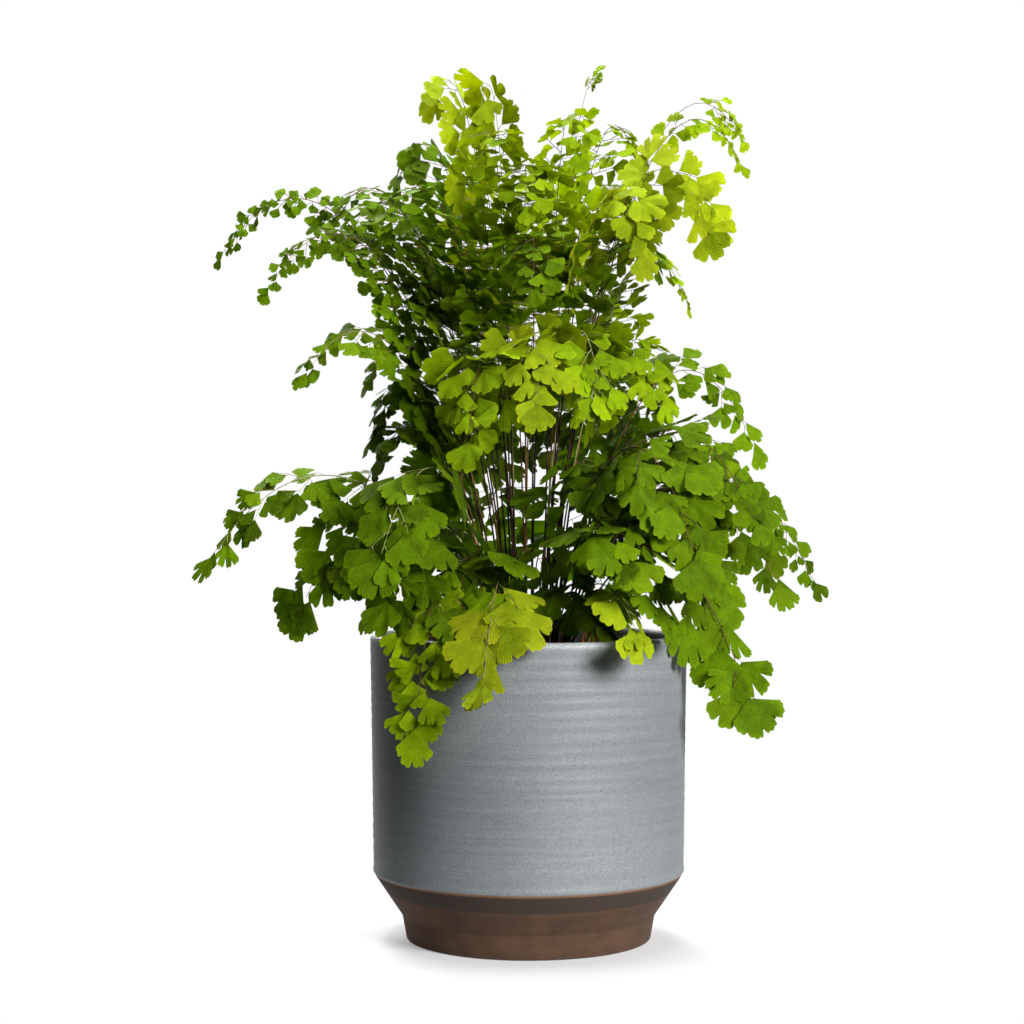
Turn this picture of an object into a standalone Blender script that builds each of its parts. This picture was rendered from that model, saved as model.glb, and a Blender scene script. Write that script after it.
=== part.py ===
"""A maidenhair fern in a straight-sided stoneware cover pot.

Metres, +Z up. The origin is the middle of the pot's underside. -Y is the front.
The plant is a crown that lies on the soil, with separate fronds that rise from it.
A frond is one closed sheet: a wiry stalk and midrib with leafy side sprays.
"""

import math
import random

import bpy
from mathutils import Vector
from mathutils.bvhtree import BVHTree

# ---- driving dimensions: the pot ----
GAP = 0.0003
RIM_RADIUS = 0.080
POT_HEIGHT = 0.153
SHOULDER_RADIUS = 0.0782
SHOULDER_HEIGHT = 0.033
FOOT_TOP_RADIUS = 0.0638
FOOT_TOP_HEIGHT = 0.0121
BASE_RADIUS = 0.0618
BASE_BEVEL = 0.0010
SHOULDER_ROUND = 0.0012
WALL = 0.0048
WALL_MIDDLE_HEIGHT = 0.095
FLOOR = 0.0070
INNER_CORNER_RISE = 0.004
POT_SIDES = 48
POT_COLOUR = (0.27, 0.30, 0.31, 1.0)
POT_ROUGHNESS = 0.45

# ---- driving dimensions: soil and crown ----
SOIL_EDGE_HEIGHT = 0.1385
SOIL_TOP_HEIGHT = 0.1415
SOIL_FLAT_RADIUS = 0.036
SOIL_SLOPE_RADIUS = 0.055
SOIL_SLOPE_RISE = 0.0012
SOIL_CORNER_RISE = 0.006
SOIL_CLEARANCE = 0.00039
SOIL_SIDES = 40
SOIL_COLOUR = (0.020, 0.013, 0.009, 1.0)
SOIL_ROUGHNESS = 0.95
CROWN_RADIUS = 0.030
CROWN_EDGE = 0.0015
CROWN_RISE = 0.0075
CROWN_DOME_POWER = 2.5
CROWN_RINGS = (1.0, 0.86, 0.66, 0.42, 0.20)
# swellings of the crown's outline: height as a share of the radius, how many, and their start
CROWN_SWELLINGS = ((0.09, 3, 0.6), (0.05, 7, 2.0))
CROWN_SIDES = 24
CROWN_COLOUR = (0.055, 0.028, 0.014, 1.0)
CROWN_ROUGHNESS = 0.85

# ---- driving dimensions: the run of a frond ----
TALLEST = 0.443
OUTER_ROOT = 0.025
INNER_ROOT = 0.008
ROOT_SHIFT = 0.002
ROOT_LIFT_SHARE = 0.1
KNEE_REACH = 0.12
KNEE_HEIGHT = 0.55
BEND_SHARES = (0.62, 0.72, 0.82, 0.92, 1.02, 1.12)
BEND_SWEEP = 0.4
BEND_HEADROOM = 0.30
BEND_HALVINGS = 24
CREST_SAMPLES = 40
CURVE_STEPS = 60
RIM_ROOM = 0.004
RIM_INSIDE = 0.010
RIM_OUTSIDE = 0.005
SWEEP_LIMIT = 0.010
ROLL_LIMIT = 12
TWIST_START = 0.2
TWIST_RUN = 0.4
TURN_TRIES = 40
TURN_STEP = 0.9
STALK_ROOM = 0.0006
SEED = 7

# ---- driving dimensions: stalk, sprays and leaflets ----
STALK_WIDTH = 0.0013
TIP_WIDTH = 0.0006
STALK_THICKNESS = 0.0011
STALK_STEPS = 5
LEAF_THICKNESS = 0.0004
LEAF_ROUGHNESS = 0.5
PINNA_PITCH = 0.0105
MIN_PINNAE = 4
MAX_PINNAE = 11
BLADE_END = 0.985
SPRAY_SWING = 38
SPRAY_DROOP = 0.20
BASE_FULLNESS = 0.55
BASE_RAMP = 0.12
TAPER_POWER = 0.9
LONE_LEAFLET = 1.15
LONE_LEAFLET_TAPER = 0.35
COMPOUND_FROM = 1.7
COMPOUND_WIDTH = 1.05
LEAFLET_WIDTH = 0.85
WIDTH_KEPT = 0.6
TRIAL_SIZES = (1.0, 0.8, 0.62, 0.45)
TRIAL_LIFTS = (0, 14, -14, 28, -28, 42, -42)
TRIAL_SWINGS = (0, 14, -14)
SHARED_ROOT = 0.3
END_LEAF_REACH = 0.8
END_LEAF_HALF_WIDTH = 0.32
END_LEAF_ROOT = 0.15
END_LEAF_SIZES = (1.0, 0.75, 0.5)

# Each frond: bearing in degrees from +X, reach of its tip from the middle, height of its
# crest and of its tip, the bare share of its length, its longest side spray, the size of
# one leaflet, how far its blade turns its face to the front in degrees, how level its
# leaflets are held from 0 to 1, and its colour. Lengths in metres.
HIGH_FRONDS = [
    (173, 0.163, 0.376, 0.342, 0.48, 0.016, 0.0082, 66, 0.0, "mid"),
    (191, 0.133, 0.354, 0.320, 0.46, 0.022, 0.0085, 60, 0.1, "mid"),
    (183, 0.104, 0.378, 0.350, 0.46, 0.032, 0.010, 25, 0.4, "mid"),
    (156, 0.074, 0.405, 0.380, 0.54, 0.034, 0.0140, 40, 0.1, "mid"),
    (196, 0.048, 0.432, 0.420, 0.74, 0.024, 0.017, 55, 0.0, "lime"),
    (232, 0.038, 0.427, 0.404, 0.76, 0.024, 0.018, 30, 0.0, "lime"),
    (-55, 0.046, 0.410, 0.386, 0.64, 0.032, 0.012, 0, 0.4, "bright"),
    (17, 0.040, 0.4405, 0.440, 0.95, 0.011, 0.008, 20, 0.0, "bright"),
    (8, 0.114, 0.425, 0.402, 0.90, 0.013, 0.0080, 66, 0.0, "bright"),
    (12, 0.110, 0.414, 0.386, 0.80, 0.012, 0.0085, 60, 0.0, "bright"),
    (-28, 0.096, 0.384, 0.348, 0.66, 0.030, 0.018, 70, 0.0, "lime"),
    (-47, 0.072, 0.372, 0.336, 0.64, 0.026, 0.016, 40, 0.1, "lime"),
    (10, 0.084, 0.346, 0.318, 0.64, 0.024, 0.010, 30, 0.3, "bright"),
    (150, 0.112, 0.378, 0.352, 0.50, 0.044, 0.012, 0, 0.6, "mid"),
    (120, 0.080, 0.398, 0.374, 0.56, 0.044, 0.012, 0, 0.6, "mid"),
    (76, 0.071, 0.400, 0.380, 0.56, 0.043, 0.012, 0, 0.6, "bright"),
    (22, 0.060, 0.414, 0.394, 0.66, 0.030, 0.011, 20, 0.4, "bright"),
    (-100, 0.056, 0.384, 0.358, 0.60, 0.042, 0.0115, 0, 0.65, "bright"),
    (-140, 0.085, 0.374, 0.348, 0.56, 0.046, 0.012, 15, 0.6, "mid"),
    (232, 0.056, 0.400, 0.378, 0.62, 0.040, 0.0115, 10, 0.6, "bright"),
    (-82, 0.074, 0.348, 0.318, 0.56, 0.046, 0.0135, 0, 0.5, "mid"),
    (-18, 0.066, 0.360, 0.334, 0.56, 0.042, 0.012, 10, 0.6, "mid"),
]
MIDDLE_FRONDS = [
    (194, 0.116, 0.304, 0.280, 0.46, 0.026, 0.0125, 45, 0.1, "mid"),
    (184, 0.082, 0.302, 0.278, 0.46, 0.034, 0.012, 20, 0.4, "mid"),
    (172, 0.080, 0.284, 0.250, 0.38, 0.036, 0.0145, 35, 0.2, "dark"),
    (-110, 0.091, 0.291, 0.244, 0.54, 0.034, 0.018, 0, 0.0, "bright"),
    (-90, 0.090, 0.300, 0.262, 0.58, 0.030, 0.018, 0, 0.0, "lime"),
    (-64, 0.082, 0.302, 0.264, 0.58, 0.032, 0.017, 0, 0.0, "bright"),
    (-39, 0.080, 0.300, 0.266, 0.54, 0.036, 0.015, 15, 0.2, "bright"),
    (-5, 0.115, 0.286, 0.244, 0.44, 0.024, 0.0140, 50, 0.0, "mid"),
    (-20, 0.120, 0.254, 0.206, 0.48, 0.026, 0.014, 40, 0.0, "mid"),
    (-45, 0.114, 0.246, 0.190, 0.44, 0.038, 0.022, 30, 0.0, "mid"),
    (-2, 0.146, 0.236, 0.176, 0.50, 0.018, 0.0120, 50, 0.0, "dark"),
    (-14, 0.126, 0.236, 0.176, 0.46, 0.032, 0.018, 50, 0.0, "dark"),
    (-134, 0.106, 0.236, 0.190, 0.46, 0.038, 0.024, 30, 0.0, "mid"),
    (190, 0.080, 0.258, 0.234, 0.44, 0.036, 0.0140, 10, 0.2, "dark"),
    (48, 0.085, 0.296, 0.256, 0.46, 0.034, 0.013, 0, 0.4, "mid"),
    (71, 0.111, 0.270, 0.207, 0.44, 0.039, 0.015, 0, 0.3, "mid"),
    (98, 0.112, 0.308, 0.256, 0.46, 0.044, 0.014, 0, 0.4, "dark"),
    (122, 0.106, 0.266, 0.204, 0.44, 0.038, 0.015, 0, 0.3, "mid"),
    (-50, 0.062, 0.240, 0.220, 0.48, 0.038, 0.017, 0, 0.3, "dark"),
    (-84, 0.050, 0.196, 0.176, 0.42, 0.036, 0.018, 0, 0.2, "dark"),
]
LOW_FRONDS = [
    (187, 0.160, 0.233, 0.190, 0.44, 0.026, 0.0175, 55, 0.0, "mid"),
    (200, 0.116, 0.214, 0.168, 0.44, 0.042, 0.022, 60, 0.0, "mid"),
    (-20, 0.114, 0.194, 0.121, 0.46, 0.038, 0.025, 70, 0.0, "mid"),
    (-31, 0.108, 0.226, 0.188, 0.46, 0.032, 0.021, 50, 0.0, "mid"),
    (-57, 0.098, 0.212, 0.190, 0.46, 0.040, 0.020, 20, 0.4, "mid"),
    (-55, 0.098, 0.180, 0.158, 0.56, 0.022, 0.020, 0, 0.3, "lime"),
    (-102, 0.104, 0.184, 0.134, 0.50, 0.032, 0.024, 0, 0.0, "yellow"),
    (-129, 0.097, 0.186, 0.108, 0.46, 0.028, 0.018, 20, 0.0, "bright"),
    (-52, 0.056, 0.178, 0.162, 0.36, 0.034, 0.019, 0, 0.3, "dark"),
    (-117, 0.080, 0.196, 0.168, 0.44, 0.040, 0.022, 0, 0.0, "mid"),
    (62, 0.112, 0.206, 0.150, 0.46, 0.036, 0.020, 15, 0.1, "mid"),
    (100, 0.112, 0.228, 0.150, 0.46, 0.042, 0.021, 0, 0.1, "mid"),
    (-42, 0.092, 0.200, 0.165, 0.44, 0.036, 0.020, 0, 0.3, "mid"),
    (143, 0.104, 0.212, 0.164, 0.46, 0.036, 0.021, 15, 0.1, "mid"),
    (221, 0.094, 0.208, 0.170, 0.44, 0.036, 0.021, 20, 0.0, "mid"),
]
TIERS = [("high", HIGH_FRONDS), ("middle", MIDDLE_FRONDS), ("low", LOW_FRONDS)]

LEAF_COLOURS = {
    "dark": (0.055, 0.115, 0.006, 1.0),
    "mid": (0.095, 0.200, 0.010, 1.0),
    "bright": (0.165, 0.310, 0.015, 1.0),
    "lime": (0.310, 0.450, 0.025, 1.0),
    "yellow": (0.400, 0.420, 0.030, 1.0),
}


# ---- shared helpers ----
def clear_scene():
    for thing in list(bpy.data.objects):
        bpy.data.objects.remove(thing, do_unlink=True)


def plain_material(name, colour, roughness):
    material = bpy.data.materials.new(name)
    material.use_nodes = True
    shader = material.node_tree.nodes["Principled BSDF"]
    shader.inputs["Base Color"].default_value = colour
    shader.inputs["Roughness"].default_value = roughness
    shader.inputs["Metallic"].default_value = 0.0
    return material


def add_piece(name, points, faces, material, crease_degrees=40):
    mesh = bpy.data.meshes.new(name)
    mesh.from_pydata([tuple(p) for p in points], [], faces)
    mesh.shade_smooth()
    mesh.set_sharp_from_angle(angle=math.radians(crease_degrees))
    mesh.materials.append(material)
    piece = bpy.data.objects.new(name, mesh)
    bpy.context.scene.collection.objects.link(piece)
    return piece


def turned(profile, sides):
    """A closed turned solid. The profile runs from the axis, outwards and up, back to the axis."""
    points = [Vector((0, 0, profile[0][1]))]
    rings = profile[1:-1]
    for radius, height in rings:
        for i in range(sides):
            turn = 2 * math.pi * i / sides
            points.append(Vector((radius * math.cos(turn), radius * math.sin(turn), height)))
    points.append(Vector((0, 0, profile[-1][1])))
    last = len(points) - 1
    faces = []
    for i in range(sides):
        j = (i + 1) % sides
        faces.append((0, 1 + j, 1 + i))
        for r in range(len(rings) - 1):
            low, high = 1 + r * sides, 1 + (r + 1) * sides
            faces.append((low + i, low + j, high + j, high + i))
        top = 1 + (len(rings) - 1) * sides
        faces.append((top + i, top + j, last))
    return points, faces


# ---- the pot ----
def wall_radius(height):
    """Outer radius of the straight body, which narrows a little towards the shoulder."""
    share = (height - SHOULDER_HEIGHT) / (POT_HEIGHT - SHOULDER_HEIGHT)
    return SHOULDER_RADIUS + (RIM_RADIUS - SHOULDER_RADIUS) * share


def rim_arc(steps=5):
    """The rounded lip, from its outer side over the top to its inner side."""
    round_radius = WALL / 2
    middle = RIM_RADIUS - round_radius
    centre = POT_HEIGHT - round_radius
    arc = []
    for i in range(steps + 1):
        turn = math.pi * i / steps
        arc.append((middle + round_radius * math.cos(turn), centre + round_radius * math.sin(turn)))
    return arc


def inner_radius(height):
    return wall_radius(max(height, SHOULDER_HEIGHT)) - WALL


def make_pot():
    inner_floor = FOOT_TOP_HEIGHT + FLOOR
    profile = [
        (0, 0),
        (BASE_RADIUS - BASE_BEVEL, 0),
        (BASE_RADIUS, BASE_BEVEL),
        (FOOT_TOP_RADIUS, FOOT_TOP_HEIGHT),
        (SHOULDER_RADIUS - SHOULDER_ROUND, SHOULDER_HEIGHT - SHOULDER_ROUND),
        (SHOULDER_RADIUS, SHOULDER_HEIGHT + SHOULDER_ROUND),
        (wall_radius(WALL_MIDDLE_HEIGHT), WALL_MIDDLE_HEIGHT),
    ]
    profile += rim_arc()
    profile += [
        (inner_radius(WALL_MIDDLE_HEIGHT), WALL_MIDDLE_HEIGHT),
        (inner_radius(SHOULDER_HEIGHT), SHOULDER_HEIGHT + INNER_CORNER_RISE),
        (FOOT_TOP_RADIUS - WALL, inner_floor),
        (0, inner_floor),
    ]
    points, faces = turned(profile, POT_SIDES)
    glaze = plain_material("pot_glaze", POT_COLOUR, POT_ROUGHNESS)
    return add_piece("pot", points, faces, glaze)


# ---- soil and crown ----
def make_soil():
    floor_height = FOOT_TOP_HEIGHT + FLOOR + GAP
    # the facets of a turned wall lie a little inside its radius, so the soil keeps clear of both
    flat_side = math.cos(math.pi / SOIL_SIDES) * math.cos(math.pi / POT_SIDES)
    profile = [
        (0, floor_height),
        ((FOOT_TOP_RADIUS - WALL) * flat_side - 2 * SOIL_CLEARANCE, floor_height),
        (inner_radius(SHOULDER_HEIGHT) * flat_side - 2 * SOIL_CLEARANCE,
         SHOULDER_HEIGHT + SOIL_CORNER_RISE),
        (inner_radius(WALL_MIDDLE_HEIGHT) * flat_side - SOIL_CLEARANCE, WALL_MIDDLE_HEIGHT),
        (inner_radius(SOIL_EDGE_HEIGHT) * flat_side - SOIL_CLEARANCE, SOIL_EDGE_HEIGHT),
        (SOIL_SLOPE_RADIUS, SOIL_EDGE_HEIGHT + SOIL_SLOPE_RISE),
        (SOIL_FLAT_RADIUS, SOIL_TOP_HEIGHT),
        (0, SOIL_TOP_HEIGHT),
    ]
    points, faces = turned(profile, SOIL_SIDES)
    earth = plain_material("soil", SOIL_COLOUR, SOIL_ROUGHNESS)
    return add_piece("soil", points, faces, earth)


def knobble(turn):
    """How far the crown's outline swells and draws in around it."""
    return 1.0 + sum(swell * math.sin(count * turn + start) for swell, count, start in CROWN_SWELLINGS)


def crown_height(x, y):
    """Height of the crown's top surface above the middle of the pot's underside."""
    radius = math.hypot(x, y)
    share = min(radius / (CROWN_RADIUS * knobble(math.atan2(y, x))), 1.0)
    return SOIL_TOP_HEIGHT + GAP + CROWN_EDGE + CROWN_RISE * (1 - share ** CROWN_DOME_POWER)


def make_crown():
    base = SOIL_TOP_HEIGHT + GAP
    points = [Vector((0, 0, base))]
    levels = [(1.0, False)] + [(share, True) for share in CROWN_RINGS]
    for share, upper in levels:
        for i in range(CROWN_SIDES):
            turn = 2 * math.pi * i / CROWN_SIDES
            across = CROWN_RADIUS * knobble(turn) * share
            x, y = across * math.cos(turn), across * math.sin(turn)
            points.append(Vector((x, y, crown_height(x, y) if upper else base)))
    points.append(Vector((0, 0, crown_height(0, 0))))
    last = len(points) - 1
    faces = []
    for i in range(CROWN_SIDES):
        j = (i + 1) % CROWN_SIDES
        faces.append((0, 1 + j, 1 + i))
        for r in range(len(levels) - 1):
            low, high = 1 + r * CROWN_SIDES, 1 + (r + 1) * CROWN_SIDES
            faces.append((low + i, low + j, high + j, high + i))
        top = 1 + (len(levels) - 1) * CROWN_SIDES
        faces.append((top + i, top + j, last))
    rhizome = plain_material("crown", CROWN_COLOUR, CROWN_ROUGHNESS)
    return add_piece("crown", points, faces, rhizome)


# ---- the run of a frond ----
def bezier(ends, share):
    a, b, c, d = ends
    rest = 1 - share
    return a * rest**3 + b * 3 * rest**2 * share + c * 3 * rest * share**2 + d * share**3


def clears_rim(points):
    """Whether a run passes over the pot's rim with room for its leaflets."""
    inner, outer = RIM_RADIUS - RIM_INSIDE, RIM_RADIUS + RIM_OUTSIDE
    over = [p for p in points if inner < math.hypot(p.x, p.y) < outer]
    return all(p.z > POT_HEIGHT + RIM_ROOM for p in over)


def frond_run(row, nudge, sweep):
    """Points along a frond from the crown to its tip, evenly spaced along its length."""
    bearing, reach, crest, tip = row[:4]
    turn = math.radians(bearing + nudge)
    out = Vector((math.cos(turn), math.sin(turn), 0))
    side = Vector((-math.sin(turn), math.cos(turn), 0))
    tallness = (crest - POT_HEIGHT) / (TALLEST - POT_HEIGHT)
    root_radius = OUTER_ROOT + (INNER_ROOT - OUTER_ROOT) * tallness
    root = out * root_radius + side * ROOT_SHIFT * math.sin(bearing)
    root.z = crown_height(root.x, root.y) + GAP + STALK_THICKNESS * ROOT_LIFT_SHARE
    end = out * reach + side * sweep
    end.z = tip
    knee = root + out * KNEE_REACH * (reach - root_radius)
    knee.z = root.z + KNEE_HEIGHT * (crest - root.z)
    for bend_share in BEND_SHARES:
        bend = out * (bend_share * reach) + side * sweep * BEND_SWEEP
        low, high = crest, crest + BEND_HEADROOM
        for _ in range(BEND_HALVINGS):
            bend.z = (low + high) / 2
            ends = (root, knee, bend, end)
            peak = max(bezier(ends, i / CREST_SAMPLES).z for i in range(CREST_SAMPLES + 1))
            if peak > crest:
                high = bend.z
            else:
                low = bend.z
        ends = (root, knee, bend, end)
        raw = [bezier(ends, i / CURVE_STEPS) for i in range(CURVE_STEPS + 1)]
        if clears_rim(raw):
            break
    lengths = [0.0]
    for before, after in zip(raw, raw[1:]):
        lengths.append(lengths[-1] + (after - before).length)
    total = lengths[-1]
    even = []
    k = 0
    for i in range(CURVE_STEPS + 1):
        target = total * i / CURVE_STEPS
        while k < CURVE_STEPS - 1 and lengths[k + 1] < target:
            k += 1
        step = lengths[k + 1] - lengths[k]
        even.append(raw[k].lerp(raw[k + 1], min(max((target - lengths[k]) / step, 0), 1)))
    return even, total


def along(run, share):
    """Place and heading at a share of a frond's length."""
    at = min(max(share, 0.0), 1.0) * (len(run) - 1)
    k = min(int(at), len(run) - 2)
    place = run[k].lerp(run[k + 1], at - k)
    heading = (run[min(k + 2, len(run) - 1)] - run[max(k - 1, 0)]).normalized()
    return place, heading


def station_shares(row, length):
    """Shares of the length where the stalk and the blade have a cross-section."""
    bare = row[4]
    pinnae = round((1 - bare) * length / PINNA_PITCH)
    pinnae = min(max(pinnae, MIN_PINNAE), MAX_PINNAE)
    stalk = [bare * i / STALK_STEPS for i in range(STALK_STEPS)]
    blade = [bare + (BLADE_END - bare) * i / pinnae for i in range(pinnae + 1)]
    return stalk + blade, pinnae


def frond_stations(row, run, length, roll):
    """Cross-sections: place, sideways, upwards, half width and half thickness."""
    shares, pinnae = station_shares(row, length)
    turn = math.radians(row[0])
    flat_side = Vector((math.sin(turn), -math.cos(turn), 0))
    stations = []
    for share in shares:
        place, heading = along(run, share)
        upward = flat_side.cross(heading).normalized()
        sideways = heading.cross(upward)
        twist = roll * min(max((share - TWIST_START) / TWIST_RUN, 0), 1)
        tilted = sideways * math.cos(twist) + upward * math.sin(twist)
        upward = tilted.cross(heading).normalized()
        half_width = (STALK_WIDTH + (TIP_WIDTH - STALK_WIDTH) * share) / 2
        half_thick = (STALK_THICKNESS + (TIP_WIDTH - STALK_THICKNESS) * share) / 2
        stations.append((place, tilted, upward, half_width, half_thick, heading))
    return stations, pinnae


class Sheet:
    """An open sheet of faces that thickens into one closed solid."""

    def __init__(self):
        self.points, self.lifts, self.faces = [], [], []

    def point(self, place, lift):
        self.points.append(place.copy())
        self.lifts.append(lift.copy())
        return len(self.points) - 1

    def solid(self, extra=0.0):
        """The closed solid. Both sides are cut alike, so a turned face never crosses itself."""
        count = len(self.points)
        upper = [p + u + u.normalized() * extra for p, u in zip(self.points, self.lifts)]
        lower = [p - u - u.normalized() * extra for p, u in zip(self.points, self.lifts)]
        top = [(f[0], f[i], f[i + 1]) for f in self.faces for i in range(1, len(f) - 1)]
        edges = [(a, b) for face in top for a, b in zip(face, face[1:] + face[:1])]
        inner = set(edges)
        faces = top + [tuple(v + count for v in reversed(face)) for face in top]
        faces += [(b, a, a + count, b + count) for a, b in edges if (b, a) not in inner]
        return upper + lower, faces


def stem_sheet(stations):
    sheet = Sheet()
    lefts, rights = [], []
    for place, sideways, upward, half_width, half_thick, _ in stations:
        lefts.append(sheet.point(place - sideways * half_width, upward * half_thick))
        rights.append(sheet.point(place + sideways * half_width, upward * half_thick))
    for i in range(len(stations) - 1):
        sheet.faces.append((lefts[i], rights[i], rights[i + 1], lefts[i + 1]))
    return sheet, lefts, rights


# ---- the side sprays of a frond ----
def spray_length(row, share):
    """Length of the side spray at a share of the blade, longest near its base."""
    longest, leaflet = row[5], row[6]
    fullness = min(share / BASE_RAMP + BASE_FULLNESS, 1.0) * (1 - share) ** TAPER_POWER
    lone = leaflet * (LONE_LEAFLET - LONE_LEAFLET_TAPER * share)
    return lone + (longest - leaflet * LONE_LEAFLET) * fullness


def spray_outline(root_a, root_b, heading, across, length, width, compound):
    """Outer corners of a spray, from its near side to its far side."""
    middle = (root_a + root_b) / 2
    if compound:
        belly = middle + heading * length * 0.5
        return [belly - across * width / 2, middle + heading * length, belly + across * width / 2]
    outer = middle + heading * length
    return [outer - across * width / 2, outer + across * width / 2]


def rotated(vector, axis, degrees):
    turn = math.radians(degrees)
    spin = vector * math.cos(turn) + axis.cross(vector) * math.sin(turn)
    return spin + axis * axis.dot(vector) * (1 - math.cos(turn))


def spray_choices():
    """Turns and sizes that a spray may take so that it clears what already grows there."""
    for size in TRIAL_SIZES:
        for lift in TRIAL_LIFTS:
            for swing in TRIAL_SWINGS:
                yield size, lift, swing


def spray_plate(station_a, station_b, side, row, share, size, lift, swing):
    """Heading, normal and corners of one side spray."""
    place_a, side_a, up_a, half_a, _, heading_a = station_a
    place_b, side_b, up_b, half_b, _, _ = station_b
    root_a = place_a + side_a * half_a * side
    root_b = place_b + side_b * half_b * side
    outward = side_a * side
    heading = rotated(outward, up_a * side, SPRAY_SWING + swing)
    heading = rotated(heading, heading_a * side, lift)
    level = row[8]
    heading.z *= 1 - level
    heading = (heading + Vector((0, 0, -SPRAY_DROOP))).normalized()
    facing = up_a.lerp(Vector((0, 0, 1)), level)
    normal = (facing - heading * facing.dot(heading)).normalized()
    across = normal.cross(heading) * side
    length = spray_length(row, share) * size
    compound = length > COMPOUND_FROM * row[6]
    full_width = row[6] * (COMPOUND_WIDTH if compound else LEAFLET_WIDTH)
    width = full_width * (WIDTH_KEPT + (1 - WIDTH_KEPT) * size)
    corners = spray_outline(root_a, root_b, heading, across, length, width, compound)
    return root_a, root_b, normal, corners


def spray_faces(near, outer):
    """The faces of one spray, from the far and the near end of its root and its outer corners."""
    if len(outer) == 2:
        return [(near[0], near[1], outer[0], outer[1])]
    return [(near[0], near[1], outer[0], outer[2]), (outer[0], outer[1], outer[2])]


def plate_solid(root_a, root_b, normal, corners, extra, start):
    """A trial solid of one spray, thickened by extra, from a share of its length outwards."""
    sheet = Sheet()
    lift = normal * (LEAF_THICKNESS / 2 + extra)
    ends = [root_b, root_a] + corners
    middle = sum(corners, Vector()) / len(corners)
    near = [end.lerp(middle, start) for end in ends[:2]]
    indices = [sheet.point(end, lift) for end in near + corners]
    sheet.faces = spray_faces(indices[:2], indices[2:])
    return sheet.solid()


def tree_of(solids):
    points, faces = [], []
    for solid_points, solid_faces in solids:
        offset = len(points)
        points += solid_points
        for face in solid_faces:
            for i in range(1, len(face) - 1):
                faces.append((face[0] + offset, face[i] + offset, face[i + 1] + offset))
    return BVHTree.FromPolygons(points, faces) if faces else None


def hits(tree, solid):
    return bool(tree and tree.overlap(tree_of([solid])))


# ---- growing the whole plant ----
def frond_rows():
    for tier, rows in TIERS:
        for number, row in enumerate(rows, 1):
            yield f"{tier}_frond_{number:02d}", row


def grow_stems(still):
    """Settle the run of every frond, each turned a little where it would meet another."""
    settled = []
    for index, (name, row) in enumerate(frond_rows()):
        chance = random.Random(SEED * 1000 + index)
        sweep = chance.uniform(-SWEEP_LIMIT, SWEEP_LIMIT)
        bearing, face = row[0], row[7]
        roll = chance.uniform(-ROLL_LIMIT, ROLL_LIMIT) - face * math.cos(math.radians(bearing))
        others = tree_of(still + [item["stem_solid"] for item in settled])
        for step in range(TURN_TRIES):
            nudge = TURN_STEP * ((step + 1) // 2) * (1 if step % 2 else -1)
            run, length = frond_run(row, nudge, sweep)
            stations, pinnae = frond_stations(row, run, length, math.radians(roll))
            sheet, lefts, rights = stem_sheet(stations)
            if not hits(others, sheet.solid(extra=STALK_ROOM)):
                break
        settled.append({
            "name": name, "row": row, "stations": stations, "pinnae": pinnae,
            "sheet": sheet, "lefts": lefts, "rights": rights,
            "stem_solid": sheet.solid(),
        })
    return settled


def add_spray(frond, k, side, plate):
    """Join one spray to the midrib between two cross-sections."""
    sheet = frond["sheet"]
    root_a, root_b, normal, corners = plate
    lift = normal * LEAF_THICKNESS / 2
    outer = [sheet.point(corner, lift) for corner in corners]
    edge = frond["rights"] if side > 0 else frond["lefts"]
    for face in spray_faces([edge[k + 1], edge[k]], outer):
        # a left spray is seen from the other side, and keeps its first corner
        sheet.faces.append(face if side > 0 else face[:1] + face[:0:-1])


def add_end_leaf(frond, blocked):
    """The leaflet at the very tip of the midrib."""
    sheet = frond["sheet"]
    place, sideways, upward, half_width, _, heading = frond["stations"][-1]
    left, right = frond["lefts"][-1], frond["rights"][-1]
    lift = upward * LEAF_THICKNESS / 2
    for size in END_LEAF_SIZES:
        reach = frond["row"][6] * END_LEAF_REACH * size
        half = frond["row"][6] * END_LEAF_HALF_WIDTH * size
        corners = [place + heading * reach + sideways * half, place + heading * reach - sideways * half]
        trial = plate_solid(place - sideways * half_width, place + sideways * half_width,
                            upward, corners, GAP, END_LEAF_ROOT)
        if not blocked(trial):
            far_right = sheet.point(corners[0], lift)
            far_left = sheet.point(corners[1], lift)
            sheet.faces.append((left, right, far_right, far_left))
            return


def grow_sprays(fronds, still):
    grown = list(still)
    for index, frond in enumerate(fronds):
        others = [f["stem_solid"] for f in fronds if f is not frond] + grown
        around = tree_of(others)
        stations, row = frond["stations"], frond["row"]
        first = len(stations) - frond["pinnae"] - 1
        own = [frond["stem_solid"]]

        def blocked(trial):
            return hits(around, trial) or hits(tree_of(own[1:]), trial)

        add_end_leaf(frond, blocked)
        for k in range(frond["pinnae"]):
            share = (k + 0.5) / frond["pinnae"]
            side = 1 if (k + index) % 2 else -1
            at = first + k
            for size, lift, swing in spray_choices():
                plate = spray_plate(stations[at], stations[at + 1], side, row, share,
                                    size, lift, swing)
                trial = plate_solid(*plate, GAP, 0.0)
                tail = plate_solid(*plate, GAP, SHARED_ROOT)
                if hits(around, trial) or hits(tree_of(own), tail):
                    continue
                add_spray(frond, at, side, plate)
                own.append(plate_solid(*plate, 0.0, SHARED_ROOT))
                break
        grown.append(frond["sheet"].solid())


def solid_of(piece):
    """The points and faces of a finished piece."""
    mesh = piece.data
    return [v.co.copy() for v in mesh.vertices], [tuple(f.vertices) for f in mesh.polygons]


def make_fronds(still):
    colours = {name: plain_material("leaf_" + name, colour, LEAF_ROUGHNESS)
               for name, colour in LEAF_COLOURS.items()}
    fronds = grow_stems(still)
    grow_sprays(fronds, still)
    for frond in fronds:
        points, faces = frond["sheet"].solid()
        add_piece(frond["name"], points, faces, colours[frond["row"][9]])


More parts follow.
